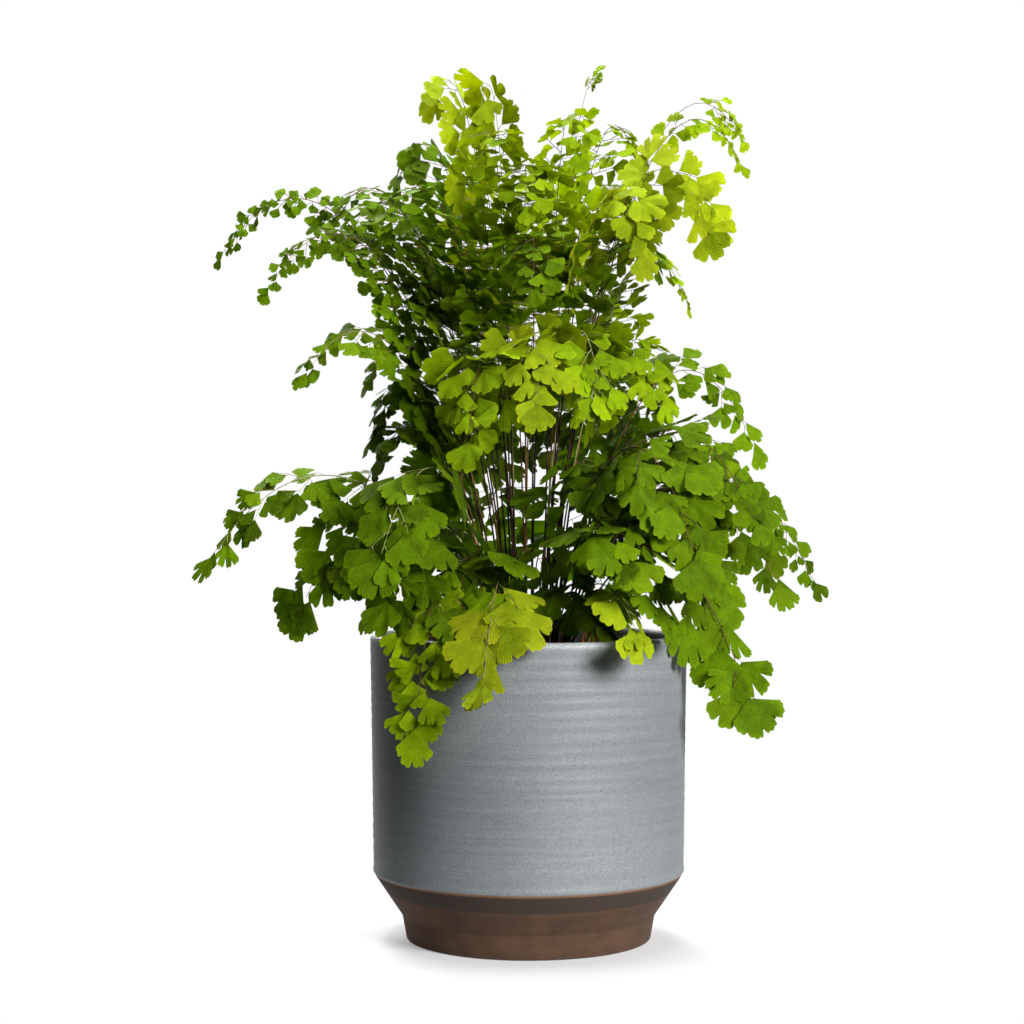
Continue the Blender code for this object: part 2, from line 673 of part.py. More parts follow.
clear_scene()
make_fronds([solid_of(piece) for piece in (make_pot(), make_soil(), make_crown())])
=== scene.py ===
import math
import random

import bpy
import numpy as np
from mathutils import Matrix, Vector, noise
from mathutils.bvhtree import BVHTree


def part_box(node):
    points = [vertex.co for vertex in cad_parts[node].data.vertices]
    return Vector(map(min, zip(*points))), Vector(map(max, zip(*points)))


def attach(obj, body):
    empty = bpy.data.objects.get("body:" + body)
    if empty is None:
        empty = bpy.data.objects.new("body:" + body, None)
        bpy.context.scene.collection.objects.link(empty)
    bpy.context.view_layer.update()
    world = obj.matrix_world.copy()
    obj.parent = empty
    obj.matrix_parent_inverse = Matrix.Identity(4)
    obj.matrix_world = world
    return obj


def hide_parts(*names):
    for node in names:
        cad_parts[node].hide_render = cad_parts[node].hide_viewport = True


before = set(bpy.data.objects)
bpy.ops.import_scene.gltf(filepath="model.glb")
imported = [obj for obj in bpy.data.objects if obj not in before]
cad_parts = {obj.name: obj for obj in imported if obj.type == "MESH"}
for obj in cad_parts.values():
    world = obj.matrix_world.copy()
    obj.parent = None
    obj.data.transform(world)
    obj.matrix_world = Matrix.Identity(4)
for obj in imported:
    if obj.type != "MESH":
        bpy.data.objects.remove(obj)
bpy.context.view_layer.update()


# ---- the cover pot ----
# Thrown stoneware with a straight body, a chamfer and a small tapered foot. The body is
# glazed inside and out in pale blue-grey, and wiped clean below the shoulder, where the
# brown clay is bare. The thrower's finger ridges show through the glaze.
RIM_RADIUS = round(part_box("pot")[1].x, 4)
POT_HEIGHT = round(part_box("pot")[1].z, 4)
SHOULDER_RADIUS = 0.0782
SHOULDER_HEIGHT = 0.033
SHOULDER_ROUND = 0.0012
FOOT_TOP_RADIUS = 0.0638
FOOT_TOP_HEIGHT = 0.0121
BASE_RADIUS = 0.0618
BASE_BEVEL = 0.0010
WALL = 0.0048
FLOOR = 0.0070
INNER_FLOOR = FOOT_TOP_HEIGHT + FLOOR
INNER_CORNER_RISE = 0.004
MIDDLE_RADIUS = 0.006
POT_SIDES = 144
RIDGE_PITCH = 0.0058
FINE_RIDGE_SHARE = 0.41
RIDGE_DEPTH = 0.00015
RIDGE_MARGIN = 0.003
INSIDE_RIDGES = 0.6
GLAZE_EDGE = 0.0338
BEAD_HEIGHT = 0.00032
BEAD_RISE = 0.0011
BEAD_SPREAD = 0.0009
WALL_SAG = 0.00018
LIP_WAVE = 0.00025
LIP_DEPTH = 0.004
DARK_BAND_LOW = 0.0243
POT_CREASE = 60


def clamped(value):
    return min(max(value, 0), 1)


def wall_radius(height):
    """Outer radius of the straight body, which narrows a little towards the shoulder."""
    share = (height - SHOULDER_HEIGHT) / (POT_HEIGHT - SHOULDER_HEIGHT)
    return SHOULDER_RADIUS + (RIM_RADIUS - SHOULDER_RADIUS) * share


def inner_radius(height):
    return wall_radius(max(height, SHOULDER_HEIGHT)) - WALL


def straight(start, end, count):
    """Evenly spaced points from start up to, and without, end."""
    steps = [i / count for i in range(count)]
    return [(start[0] + (end[0] - start[0]) * s, start[1] + (end[1] - start[1]) * s) for s in steps]


def arc(centre, radius, from_degrees, to_degrees, count):
    """Points on a round, from one angle up to, and without, another."""
    turns = [math.radians(from_degrees + (to_degrees - from_degrees) * i / count) for i in range(count)]
    return [(centre[0] + radius * math.cos(t), centre[1] + radius * math.sin(t)) for t in turns]


def ring_faces(first, rings, sides, inward=False):
    """Faces between rings of points that are stored one after another from point first on."""
    faces = []
    for low in range(first, first + (rings - 1) * sides, sides):
        high = low + sides
        for i in range(sides):
            j = (i + 1) % sides
            faces.append((low + i, high + i, high + j, low + j) if inward else
                         (low + i, low + j, high + j, high + i))
    return faces


def pot_outline():
    """Radius and height round the pot's section, from under the foot to the inner floor."""
    lip = WALL / 2
    lip_middle = RIM_RADIUS - lip
    lip_start = (RIM_RADIUS, POT_HEIGHT - lip)
    wall_start = (SHOULDER_RADIUS, SHOULDER_HEIGHT + SHOULDER_ROUND)
    chamfer_end = (SHOULDER_RADIUS - SHOULDER_ROUND, SHOULDER_HEIGHT - SHOULDER_ROUND)
    lip_end = (lip_middle - lip, POT_HEIGHT - lip)
    inner_foot = (FOOT_TOP_RADIUS - WALL, INNER_FLOOR)
    inner_shoulder = (inner_radius(SHOULDER_HEIGHT), SHOULDER_HEIGHT + INNER_CORNER_RISE)
    outline = straight((MIDDLE_RADIUS, 0), (BASE_RADIUS - BASE_BEVEL, 0), 5)
    outline += arc((BASE_RADIUS - BASE_BEVEL, BASE_BEVEL), BASE_BEVEL, -90, 0, 5)
    outline += straight((BASE_RADIUS, BASE_BEVEL), (FOOT_TOP_RADIUS, FOOT_TOP_HEIGHT), 12)
    outline += straight((FOOT_TOP_RADIUS, FOOT_TOP_HEIGHT), chamfer_end, 26)
    outline += straight(chamfer_end, wall_start, 4)
    outline += straight(wall_start, lip_start, 110)
    outline += arc((lip_middle, POT_HEIGHT - lip), lip, 0, 180, 12)
    outline += straight(lip_end, inner_shoulder, 24)
    outline += straight(inner_shoulder, inner_foot, 8)
    outline += straight(inner_foot, (MIDDLE_RADIUS, INNER_FLOOR), 5)
    return outline


def thrown(height, turn):
    """How far the finger ridges move the wall: a spiral that wanders, and fades at its ends."""
    place = Vector((math.cos(turn) * 1.3, math.sin(turn) * 1.3, height * 55))
    wander = noise.noise(place) * 1.7 + 2.6 * noise.noise(Vector((0.3, 0.7, height * 190)))
    main = math.sin(2 * math.pi * height / RIDGE_PITCH + turn + wander)
    fine = math.sin(2 * math.pi * height / (RIDGE_PITCH * FINE_RIDGE_SHARE) + 2 * turn + 2.1 * wander)
    strength = 0.75 + 1.1 * noise.noise(place * 0.9 + Vector((7, 3, 1)))
    fade = clamped((height - GLAZE_EDGE - RIDGE_MARGIN) / (4 * RIDGE_MARGIN))
    fade *= clamped((POT_HEIGHT - RIDGE_MARGIN - height) / 0.008)
    return (0.6 * main + 0.4 * fine) * strength * fade


def make_pot():
    """The pot's points and faces, and how far each point stands on a finger ridge."""
    points, ridges, rows = [], [], pot_outline()
    inside = False
    for radius, height in rows:
        inside = inside or height > POT_HEIGHT - 0.0001
        bead = BEAD_HEIGHT * math.exp(-(((height - GLAZE_EDGE - BEAD_RISE) / BEAD_SPREAD) ** 2))
        for i in range(POT_SIDES):
            turn = 2 * math.pi * i / POT_SIDES
            x, y = math.cos(turn), math.sin(turn)
            ridge = thrown(height, turn) * (INSIDE_RIDGES if inside else 1.0)
            sag = WALL_SAG * noise.noise(Vector((x * 2, y * 2, height * 14)))
            across = radius + (ridge * RIDGE_DEPTH + sag + (0 if inside else bead))
            wave = LIP_WAVE * noise.noise(Vector((x, y, 5.0)))
            level = height + (wave if height > POT_HEIGHT - LIP_DEPTH else 0)
            points.append((across * x, across * y, level))
            ridges.append(ridge)
    faces = [tuple(reversed(range(POT_SIDES)))] + ring_faces(0, len(rows), POT_SIDES)
    faces.append(tuple(range(len(points) - POT_SIDES, len(points))))
    return points, faces, ridges


def add_mesh(name, points, faces, finish, crease_degrees=50, marks=None):
    """A smooth-shaded piece that rides on the one body, with its point attributes."""
    mesh = bpy.data.meshes.new(name)
    mesh.from_pydata(points, [], faces)
    mesh.shade_smooth()
    mesh.set_sharp_from_angle(angle=math.radians(crease_degrees))
    for mark, values in (marks or {}).items():
        flat = np.asarray(values, dtype=np.float32)
        wide = flat.ndim == 2
        layer = mesh.attributes.new(mark, "FLOAT_VECTOR" if wide else "FLOAT", "POINT")
        layer.data.foreach_set("vector" if wide else "value", flat.ravel())
    mesh.materials.append(finish)
    piece = bpy.data.objects.new(name, mesh)
    bpy.context.scene.collection.objects.link(piece)
    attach(piece, "root")
    return piece


class Paint:
    """One value in a shader, which Python's operators can add up, multiply and compare."""

    def __init__(self, tree, socket=None):
        self.tree, self.socket = tree, socket

    def node(self, kind, settings, inputs, output=0):
        """Any shader node: its settings first, then the values or links of its sockets."""
        made = self.tree.nodes.new("ShaderNode" + kind)
        for name, value in settings.items():
            setattr(made, name, value)
        for name, value in inputs.items():
            if isinstance(value, Paint):
                self.tree.links.new(value.socket, made.inputs[name])
            else:
                made.inputs[name].default_value = value
        return Paint(self.tree, made.outputs[output]) if made.outputs else None

    def maths(self, operation, *values):
        return self.node("Math", {"operation": operation}, dict(enumerate(values)))

    def __add__(self, other):
        return self.maths("ADD", self, other)

    def __sub__(self, other):
        return self.maths("SUBTRACT", self, other)

    def __rsub__(self, other):
        return self.maths("SUBTRACT", other, self)

    def __mul__(self, other):
        return self.maths("MULTIPLY", self, other)

    def __pow__(self, other):
        return self.maths("POWER", self, other)

    __radd__, __rmul__ = __add__, __mul__

    def rise(self, low, high):
        """0 below low, 1 above high, and smooth between them. High may be the lower number."""
        return self.node("MapRange", {"interpolation_type": "SMOOTHSTEP"},
                         {"Value": self, "From Min": low, "From Max": high})

    def mixed(self, first, second):
        """The first colour where this value is 0, and the second where it is 1."""
        return self.node("Mix", {"data_type": "RGBA"}, {0: self, 6: first, 7: second}, 2)

    def stretched(self, x, y, z):
        return self.node("VectorMath", {"operation": "MULTIPLY"}, {0: self, 1: (x, y, z)})

    def noise(self, scale, detail=2.0, roughness=0.5):
        return self.node("TexNoise", {}, {"Vector": self, "Scale": scale, "Detail": detail,
                                          "Roughness": roughness})

    def parts(self):
        """The three parts of a vector."""
        return [self.node("SeparateXYZ", {}, {0: self}, k) for k in range(3)]

    def mark(self, name, output="Fac"):
        """What a piece's points are marked with under this name."""
        return self.node("Attribute", {"attribute_name": name}, {}, output)

    def bump(self, height, strength, depth):
        return self.node("Bump", {}, {"Strength": strength, "Distance": depth, "Height": height})

    def skin(self, base, roughness, bump, specular=0.5):
        return self.node("BsdfPrincipled", {}, {
            "Base Color": base, "Roughness": roughness, "Normal": bump,
            "Specular IOR Level": specular})

    def blended(self, first, second):
        """The first shader where this value is 0, and the second where it is 1."""
        return self.node("MixShader", {}, {0: self, 1: first, 2: second})

    def show(self, surface, output="OutputMaterial"):
        self.node(output, {}, {"Surface": surface})


def colour(red, green, blue):
    return (red, green, blue, 1.0)


def new_finish(name):
    """An empty material, the paint that fills it, and the place of each point on the piece."""
    finish = bpy.data.materials.new(name)
    finish.use_nodes = True
    finish.node_tree.nodes.clear()
    paint = Paint(finish.node_tree)
    return finish, paint, paint.node("TexCoord", {}, {}, "Object")


GLAZE_POOLED, GLAZE_EVEN = colour(0.150, 0.165, 0.175), colour(0.184, 0.199, 0.206)
GLAZE_STREAK, GLAZE_THIN = colour(0.222, 0.238, 0.244), colour(0.244, 0.260, 0.265)
GLAZE_DEEP, GLAZE_LIP_AND_HIGHLIGHT = colour(0.104, 0.121, 0.133), colour(0.350, 0.364, 0.364)
GLAZE_GRAIN, GLAZE_FRECKLE = colour(0.094, 0.106, 0.113), colour(0.068, 0.076, 0.079)
GLAZE_PALE_FRECKLE = colour(0.33, 0.345, 0.35)
CLAY_DARK, CLAY_LIGHT = colour(0.045, 0.021, 0.010), colour(0.070, 0.033, 0.015)
CLAY_RIDGE, CLAY_GROOVE = colour(0.092, 0.046, 0.022), colour(0.036, 0.018, 0.009)
CLAY_GRAIN, CLAY_BAND = colour(0.034, 0.018, 0.011), colour(0.026, 0.017, 0.013)
CLAY_FOOT_LINE, CLAY_FLASH = colour(0.045, 0.026, 0.018), colour(0.19, 0.098, 0.052)


def stoneware_finish():
    finish, paint, place = new_finish("stoneware_finish")
    height = place.parts()[2]
    ridge = paint.mark("ridge")
    clouds = place.noise(16.0, 3.0).rise(0.3, 0.7)
    streaks = place.stretched(9, 9, 330).noise(1.0, 4.0, 0.65)
    grain = place.noise(1250.0, 3.0, 0.7)
    freckles = place.noise(820.0, 1.0).rise(0.66, 0.74)
    pale_freckles = place.stretched(1, 1, 1.3).noise(1050.0, 1.0).rise(0.67, 0.76)
    # the glaze: it pools blue-grey between the ridges and thins on them and on the lip, where a painted
    # highlight makes it paler still
    glaze = clouds.mixed(GLAZE_POOLED, GLAZE_EVEN)
    glaze = (streaks.rise(0.35, 0.70) * 0.45).mixed(glaze, GLAZE_STREAK)
    glaze = (ridge.rise(0.1, 1.1) * 0.18).mixed(glaze, GLAZE_THIN)
    glaze = (ridge.rise(-0.1, -1.1) * 0.20).mixed(glaze, GLAZE_DEEP)
    # painted highlight: the lip is painted pale, partly for its thin glaze and partly as a highlight
    # along the rim
    lip = height.rise(POT_HEIGHT - 0.0042, POT_HEIGHT - 0.0012)
    glaze = (lip * 0.75).mixed(glaze, GLAZE_LIP_AND_HIGHLIGHT)
    glaze = (grain.rise(0.42, 0.60) * 0.50).mixed(glaze, GLAZE_GRAIN)
    glaze = (freckles * 0.45).mixed(glaze, GLAZE_FRECKLE)
    glaze = (pale_freckles * 0.35).mixed(glaze, GLAZE_PALE_FRECKLE)
    # the clay: warm brown with turning lines, and darker on the upper chamfer
    turning = place.stretched(4, 4, 520).noise(1.0, 3.0, 0.6)
    mottle = place.noise(70.0, 4.0, 0.6)
    clay = mottle.rise(0.3, 0.7).mixed(CLAY_DARK, CLAY_LIGHT)
    clay = (turning.rise(0.45, 0.75) * 0.40).mixed(clay, CLAY_RIDGE)
    clay = (turning.rise(0.50, 0.25) * 0.35).mixed(clay, CLAY_GROOVE)
    clay = (grain.rise(0.45, 0.70) * 0.30).mixed(clay, CLAY_GRAIN)
    edge_wave = (place.stretched(1, 1, 0.2).noise(42.0, 2.0) - 0.5) * 0.0010
    band = (height + edge_wave).rise(DARK_BAND_LOW - 0.0004, DARK_BAND_LOW + 0.0005)
    clay = (band * 0.80).mixed(clay, CLAY_BAND)
    foot_line = height.rise(0.0016, 0.0006)
    clay = (foot_line * 0.7).mixed(clay, CLAY_FOOT_LINE)
    # along the glaze's edge the clay has flashed warm, and the edge itself wavers
    edge = height + edge_wave * 0.5
    clay = (edge.rise(GLAZE_EDGE - 0.0016, GLAZE_EDGE - 0.0006) * 0.85).mixed(clay, CLAY_FLASH)
    glazed = edge.rise(GLAZE_EDGE - 0.0004, GLAZE_EDGE + 0.0003)
    relief = grain * 0.35 + streaks * 0.30 + freckles * (-0.25) + mottle * 0.2
    paint.show(paint.skin(glazed.mixed(clay, glaze), glazed * -0.40 + 0.90 + streaks * 0.08,
                          paint.bump(relief, 0.32, 0.00035), 0.45))
    return finish


pot_points, pot_faces, pot_ridges = make_pot()
pot_piece = add_mesh("cover_pot", pot_points, pot_faces, stoneware_finish(), POT_CREASE,
                     {"ridge": pot_ridges})
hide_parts("pot")


# ---- the soil ----
# Peaty potting soil, filled to about a finger's width below the rim and firmed by watering.
# Its top is a crumbly crust, with loose crumbs and shreds of bark lying on it.
GAP = 0.0003
SOIL_EDGE_HEIGHT = 0.1385
SOIL_TOP_HEIGHT = round(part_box("soil")[1].z, 4)
SOIL_FLAT_RADIUS = 0.036
SOIL_EDGE_RADIUS = inner_radius(SOIL_EDGE_HEIGHT) - 0.0012
SOIL_CLEARANCE = 0.0015
SOIL_SLOPE_POWER = 1.6
SOIL_RINGS = 64
SOIL_SIDES = 150
CRUST_DROP = 0.0010
CLOD_HEIGHT = 0.0022
LUMP_HEIGHT = 0.0016
CRUMB_COUNT, CRUMB_SIZE, CRUMB_STRETCH = 900, 0.0021, 1.15
BARK_COUNT, BARK_SIZE, BARK_STRETCH = 46, 0.0023, 2.6
LUMP_SIDES = 6
# a lump's rings from end to end: height and width as shares of its half size
LUMP_RINGS = ((-1, 0.0), (-0.45, 0.85), (0.40, 0.90), (1, 0.0))
LUMP_ROUGHNESS = 0.28


def soil_height(x, y):
    """Height of the crust, which dips towards the wall."""
    radius = math.hypot(x, y)
    share = clamped((radius - SOIL_FLAT_RADIUS) / (SOIL_EDGE_RADIUS - SOIL_FLAT_RADIUS))
    level = SOIL_TOP_HEIGHT + (SOIL_EDGE_HEIGHT - SOIL_TOP_HEIGHT) * share ** SOIL_SLOPE_POWER
    spot = Vector((x, y, 0))
    clods = CLOD_HEIGHT * noise.fractal(spot * 95, 0.8, 2.1, 4)
    lumps = LUMP_HEIGHT * abs(noise.noise(spot * 240))
    return level - CRUST_DROP + clods + lumps


def make_soil():
    """The crust in rings from the middle out, then down the wall to a flat underside."""
    points = [(0, 0, soil_height(0, 0))]
    for ring in range(1, SOIL_RINGS + 1):
        radius = SOIL_EDGE_RADIUS * ring / SOIL_RINGS
        for i in range(SOIL_SIDES):
            turn = 2 * math.pi * (i + 0.5 * (ring % 2)) / SOIL_SIDES
            x, y = radius * math.cos(turn), radius * math.sin(turn)
            points.append((x, y, soil_height(x, y)))
    skirt = [(SOIL_EDGE_RADIUS - 0.0005, 0.120), (inner_radius(0.050) - SOIL_CLEARANCE, 0.050),
             (FOOT_TOP_RADIUS - WALL - SOIL_CLEARANCE, INNER_FLOOR + 0.001)]
    for radius, level in skirt:
        for i in range(SOIL_SIDES):
            turn = 2 * math.pi * (i + 0.5 * (SOIL_RINGS % 2)) / SOIL_SIDES
            points.append((radius * math.cos(turn), radius * math.sin(turn), level))
    faces = [(0, 1 + i, 1 + (i + 1) % SOIL_SIDES) for i in range(SOIL_SIDES)]
    faces += ring_faces(1, SOIL_RINGS + len(skirt), SOIL_SIDES, inward=True)
    faces.append(tuple(reversed(range(len(points) - SOIL_SIDES, len(points)))))
    return points, faces


def lump(place, sizes, turn, chance):
    """A small rough lump: two rings and two ends, each corner pushed in or out."""
    along = Vector((math.cos(turn), math.sin(turn), 0))
    across = Vector((-math.sin(turn), math.cos(turn), 0))
    points = []
    for level, share in LUMP_RINGS:
        for i in range(LUMP_SIDES if share else 1):
            around = turn + 2 * math.pi * i / LUMP_SIDES + level * 0.3
            spot = (along * sizes[0] * math.cos(around) + across * sizes[1] * math.sin(around)) * share
            spot.z = sizes[2] * level
            points.append(place + spot * (1 + chance.uniform(-LUMP_ROUGHNESS, LUMP_ROUGHNESS)))
    low, high, last = 1, 1 + LUMP_SIDES, len(points) - 1
    faces = []
    for i in range(LUMP_SIDES):
        j = (i + 1) % LUMP_SIDES
        faces += [(0, low + j, low + i), (low + i, low + j, high + j, high + i),
                  (high + i, high + j, last)]
    return points, faces


def joined(shapes):
    """Several small shapes as one list of points and faces."""
    points, faces = [], []
    for shape_points, shape_faces in shapes:
        offset = len(points)
        points += [tuple(p) for p in shape_points]
        faces += [tuple(v + offset for v in face) for face in shape_faces]
    return points, faces


def scattered(count, seed, biggest, stretch):
    """Lumps that lie on the soil, more of them small than large."""
    chance = random.Random(seed)
    shapes = []
    for _ in range(count):
        radius = (SOIL_EDGE_RADIUS - 0.003) * math.sqrt(chance.random())
        turn = chance.uniform(0, 2 * math.pi)
        x, y = radius * math.cos(turn), radius * math.sin(turn)
        size = biggest * (0.25 + 0.75 * chance.random() ** 2.2)
        sizes = (size * stretch, size * chance.uniform(0.6, 1.0), size * chance.uniform(0.35, 0.7))
        place = Vector((x, y, soil_height(x, y) + sizes[2] * 0.35))
        shapes.append(lump(place, sizes, chance.uniform(0, math.pi), chance))
    return joined(shapes)


def soil_finish(name, dark, light, fleck):
    finish, paint, place = new_finish(name)
    damp = place.noise(60.0, 3.0)
    crumbs = place.noise(520.0, 4.0, 0.7)
    fibres = place.stretched(1, 0.35, 1).noise(900.0, 2.0)
    base = crumbs.rise(0.30, 0.72).mixed(dark, light)
    base = (fibres.rise(0.66, 0.74) * 0.7).mixed(base, fleck)
    base = (damp.rise(0.45, 0.65) * 0.5).mixed(base, dark)
    paint.show(paint.skin(base, damp * -0.25 + 1.0, paint.bump(crumbs, 0.8, 0.0008)))
    return finish


peat = soil_finish("peat_finish", colour(0.010, 0.006, 0.004), colour(0.048, 0.030, 0.019),
                   colour(0.120, 0.075, 0.045))
bark = soil_finish("bark_finish", colour(0.040, 0.020, 0.010), colour(0.140, 0.078, 0.042),
                   colour(0.220, 0.150, 0.090))
soil_piece = add_mesh("soil_crust", *make_soil(), peat, 180)
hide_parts("soil")
crumb_piece = add_mesh("soil_crumbs", *scattered(CRUMB_COUNT, 11, CRUMB_SIZE, CRUMB_STRETCH),
                       peat, 60)
bark_piece = add_mesh("bark_shreds", *scattered(BARK_COUNT, 12, BARK_SIZE, BARK_STRETCH), bark, 40)


# ---- the crown ----
# The fern's rhizome creeps on the soil as one knobbly mass, with the dark scales and the
# stubs of old stalks on it. Each living stalk comes up out of it.
CROWN_RADIUS = 0.030
CROWN_EDGE = 0.0015
CROWN_RISE = 0.0075
CROWN_DOME_POWER = 2.5
# swellings of the crown's outline: height as a share of the radius, how many, and their start
CROWN_SWELLINGS = ((0.09, 3, 0.6), (0.05, 7, 2.0))
# knobs on its skin: their height, and how close together they are
CROWN_KNOBS = ((0.0016, 170), (0.0008, 420))
CROWN_MARGIN = 0.985
CROWN_SINK = 0.0008
CROWN_SKIRT = 0.003
CROWN_RINGS = 26
CROWN_SIDES = 90
STUB_COUNT = 46
STUB_RADII = (0.0008, 0.00062, 0.0005)
SCALE_COUNT = 420
SCALE_RADII = (0.00022, 0.00017, 0.00003)


def knobble(turn):
    """How far the crown's outline swells and draws in around it."""
    (big, few, first), (small, many, second) = CROWN_SWELLINGS
    return 1.0 + big * math.sin(few * turn + first) + small * math.sin(many * turn + second)


def crown_height(x, y):
    """Height of the crown's top surface above the middle of the pot's underside."""
    radius = math.hypot(x, y)
    share = min(radius / (CROWN_RADIUS * knobble(math.atan2(y, x))), 1.0)
    return SOIL_TOP_HEIGHT + GAP + CROWN_EDGE + CROWN_RISE * (1 - share ** CROWN_DOME_POWER)


def knobbly_place(share, turn):
    """A point on the crown with its knobs, at a share of the way out from its middle."""
    across = CROWN_RADIUS * knobble(turn) * share * CROWN_MARGIN
    x, y = across * math.cos(turn), across * math.sin(turn)
    spot = Vector((x, y, 0))
    knobs = sum(height * noise.noise(spot * closeness) for height, closeness in CROWN_KNOBS)
    return Vector((x, y, crown_height(x, y) - CROWN_SINK + knobs * (1 - 0.5 * share)))


def make_crown():
    """The dome in rings from its middle out, with a short skirt down into the crust."""
    points = [knobbly_place(0, 0)]
    for ring in range(1, CROWN_RINGS + 1):
        for i in range(CROWN_SIDES):
            points.append(knobbly_place(ring / CROWN_RINGS, 2 * math.pi * i / CROWN_SIDES))
    for i in range(CROWN_SIDES):
        foot = knobbly_place(1.0, 2 * math.pi * i / CROWN_SIDES)
        points.append(Vector((foot.x * 0.99, foot.y * 0.99, SOIL_TOP_HEIGHT - CROWN_SKIRT)))
    faces = [(0, 1 + i, 1 + (i + 1) % CROWN_SIDES) for i in range(CROWN_SIDES)]
    faces += ring_faces(1, CROWN_RINGS + 1, CROWN_SIDES, inward=True)
    faces.append(tuple(reversed(range(len(points) - CROWN_SIDES, len(points)))))
    return points, faces


def tube(path, radii, sides):
    """A closed round tube along a path, thick as its radii say."""
    points = []
    sideways = (path[1] - path[0]).normalized().orthogonal().normalized()
    for k, place in enumerate(path):
        ahead = (path[min(k + 1, len(path) - 1)] - path[max(k - 1, 0)]).normalized()
        sideways = (sideways - ahead * sideways.dot(ahead)).normalized()
        other = ahead.cross(sideways)
        for i in range(sides):
            turn = 2 * math.pi * i / sides
            points.append(place + (sideways * math.cos(turn) + other * math.sin(turn)) * radii[k])
    faces = ring_faces(0, len(path), sides)
    faces.append(tuple(reversed(range(sides))))
    faces.append(tuple(range(len(points) - sides, len(points))))
    return points, faces


def stubs_and_scales():
    """Stubs of old stalks, and the dark papery scales between them."""
    chance = random.Random(21)
    shapes = []
    for _ in range(STUB_COUNT):
        foot = knobbly_place(math.sqrt(chance.random()) * 0.9, chance.uniform(0, 2 * math.pi))
        lean = Vector((foot.x * 9, foot.y * 9, 1))
        lean += Vector((chance.uniform(-0.3, 0.3), chance.uniform(-0.3, 0.3), 0))
        steps = (-0.001, 0.0015, chance.uniform(0.003, 0.009))
        shapes.append(tube([foot + lean.normalized() * step for step in steps], STUB_RADII, 6))
    for _ in range(SCALE_COUNT):
        foot = knobbly_place(math.sqrt(chance.random()), chance.uniform(0, 2 * math.pi))
        lean = Vector((chance.uniform(-1, 1), chance.uniform(-1, 1), chance.uniform(0.2, 0.9)))
        lean.normalize()
        tip = chance.uniform(0.0012, 0.0032)
        bend = Vector((0, 0, -0.35 * tip))
        path = [foot - lean * 0.0004, foot + lean * tip * 0.55, foot + lean * tip + bend]
        shapes.append(tube(path, SCALE_RADII, 3))
    return joined(shapes)


def crown_finish(name, dark, light):
    finish, paint, place = new_finish(name)
    scales = place.stretched(1, 1, 0.5).noise(620.0, 3.0, 0.6)
    knobs = place.noise(130.0, 2.0)
    base = scales.rise(0.35, 0.68).mixed(dark, light)
    base = (knobs.rise(0.5, 0.7) * 0.6).mixed(base, dark)
    paint.show(paint.skin(base, scales * 0.3 + 0.55, paint.bump(scales, 0.7, 0.0006)))
    return finish


rhizome_skin = crown_finish("rhizome_finish", colour(0.018, 0.009, 0.005),
                            colour(0.090, 0.046, 0.022))
crown_piece = add_mesh("rhizome", *make_crown(), rhizome_skin, 70)
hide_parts("crown")
stub_skin = crown_finish("scale_finish", colour(0.030, 0.014, 0.007), colour(0.160, 0.085, 0.038))
stub_piece = add_mesh("rhizome_stubs_and_scales", *stubs_and_scales(), stub_skin, 60)


# ---- the stalks ----
# Each frond stands on one wiry stalk, hard and glossy as horsehair, nearly black low down
# and browner near its tip. It grows on through the blade as the midrib, and carries
# side ribs as fine as hairs. A few young stalks are still pale olive or tan.
STALK_WIDTH = 0.0013
TIP_WIDTH = 0.0006
STALK_THICKNESS = 0.0011
PINNA_PITCH = 0.0105
MIN_PINNAE = 4
MAX_PINNAE = 11
BLADE_END = 0.985
STALK_STEPS = 5
CURVE_STEPS = 60
TALLEST = 0.443
OUTER_ROOT = 0.025
INNER_ROOT = 0.008
ROOT_SHIFT = 0.002
ROOT_LIFT_SHARE = 0.1
KNEE_REACH = 0.12
KNEE_HEIGHT = 0.55
BEND_SHARES = (0.62, 0.72, 0.82, 0.92, 1.02, 1.12)
BEND_SWEEP = 0.4
BEND_HEADROOM = 0.30
BEND_HALVINGS = 24
CREST_SAMPLES = 40
RIM_ROOM = 0.004
RIM_INSIDE = 0.010
RIM_OUTSIDE = 0.005
SWEEP_LIMIT = 0.010
ROLL_LIMIT = 12
TWIST_START = 0.2
TWIST_RUN = 0.4
TURN_TRIES = 40
TURN_STEP = 0.9
STALK_ROOM = 0.0006
WIRE_SIDES = 7
WIRE_SHARE = 0.46
WIRE_TIP_SHARE = 0.4
ROOT_DEPTH = 0.0012
# how brown or green a stalk is, from 0 to 1: most are nearly black and a few are young
STALK_YOUTHS = (0.06, 0.06, 0.06, 0.10, 0.25, 0.40, 0.50, 0.55, 0.78, 0.92)
YOUTH_RISE, RIB_YOUTH = 0.30, 0.25
SEED = 7
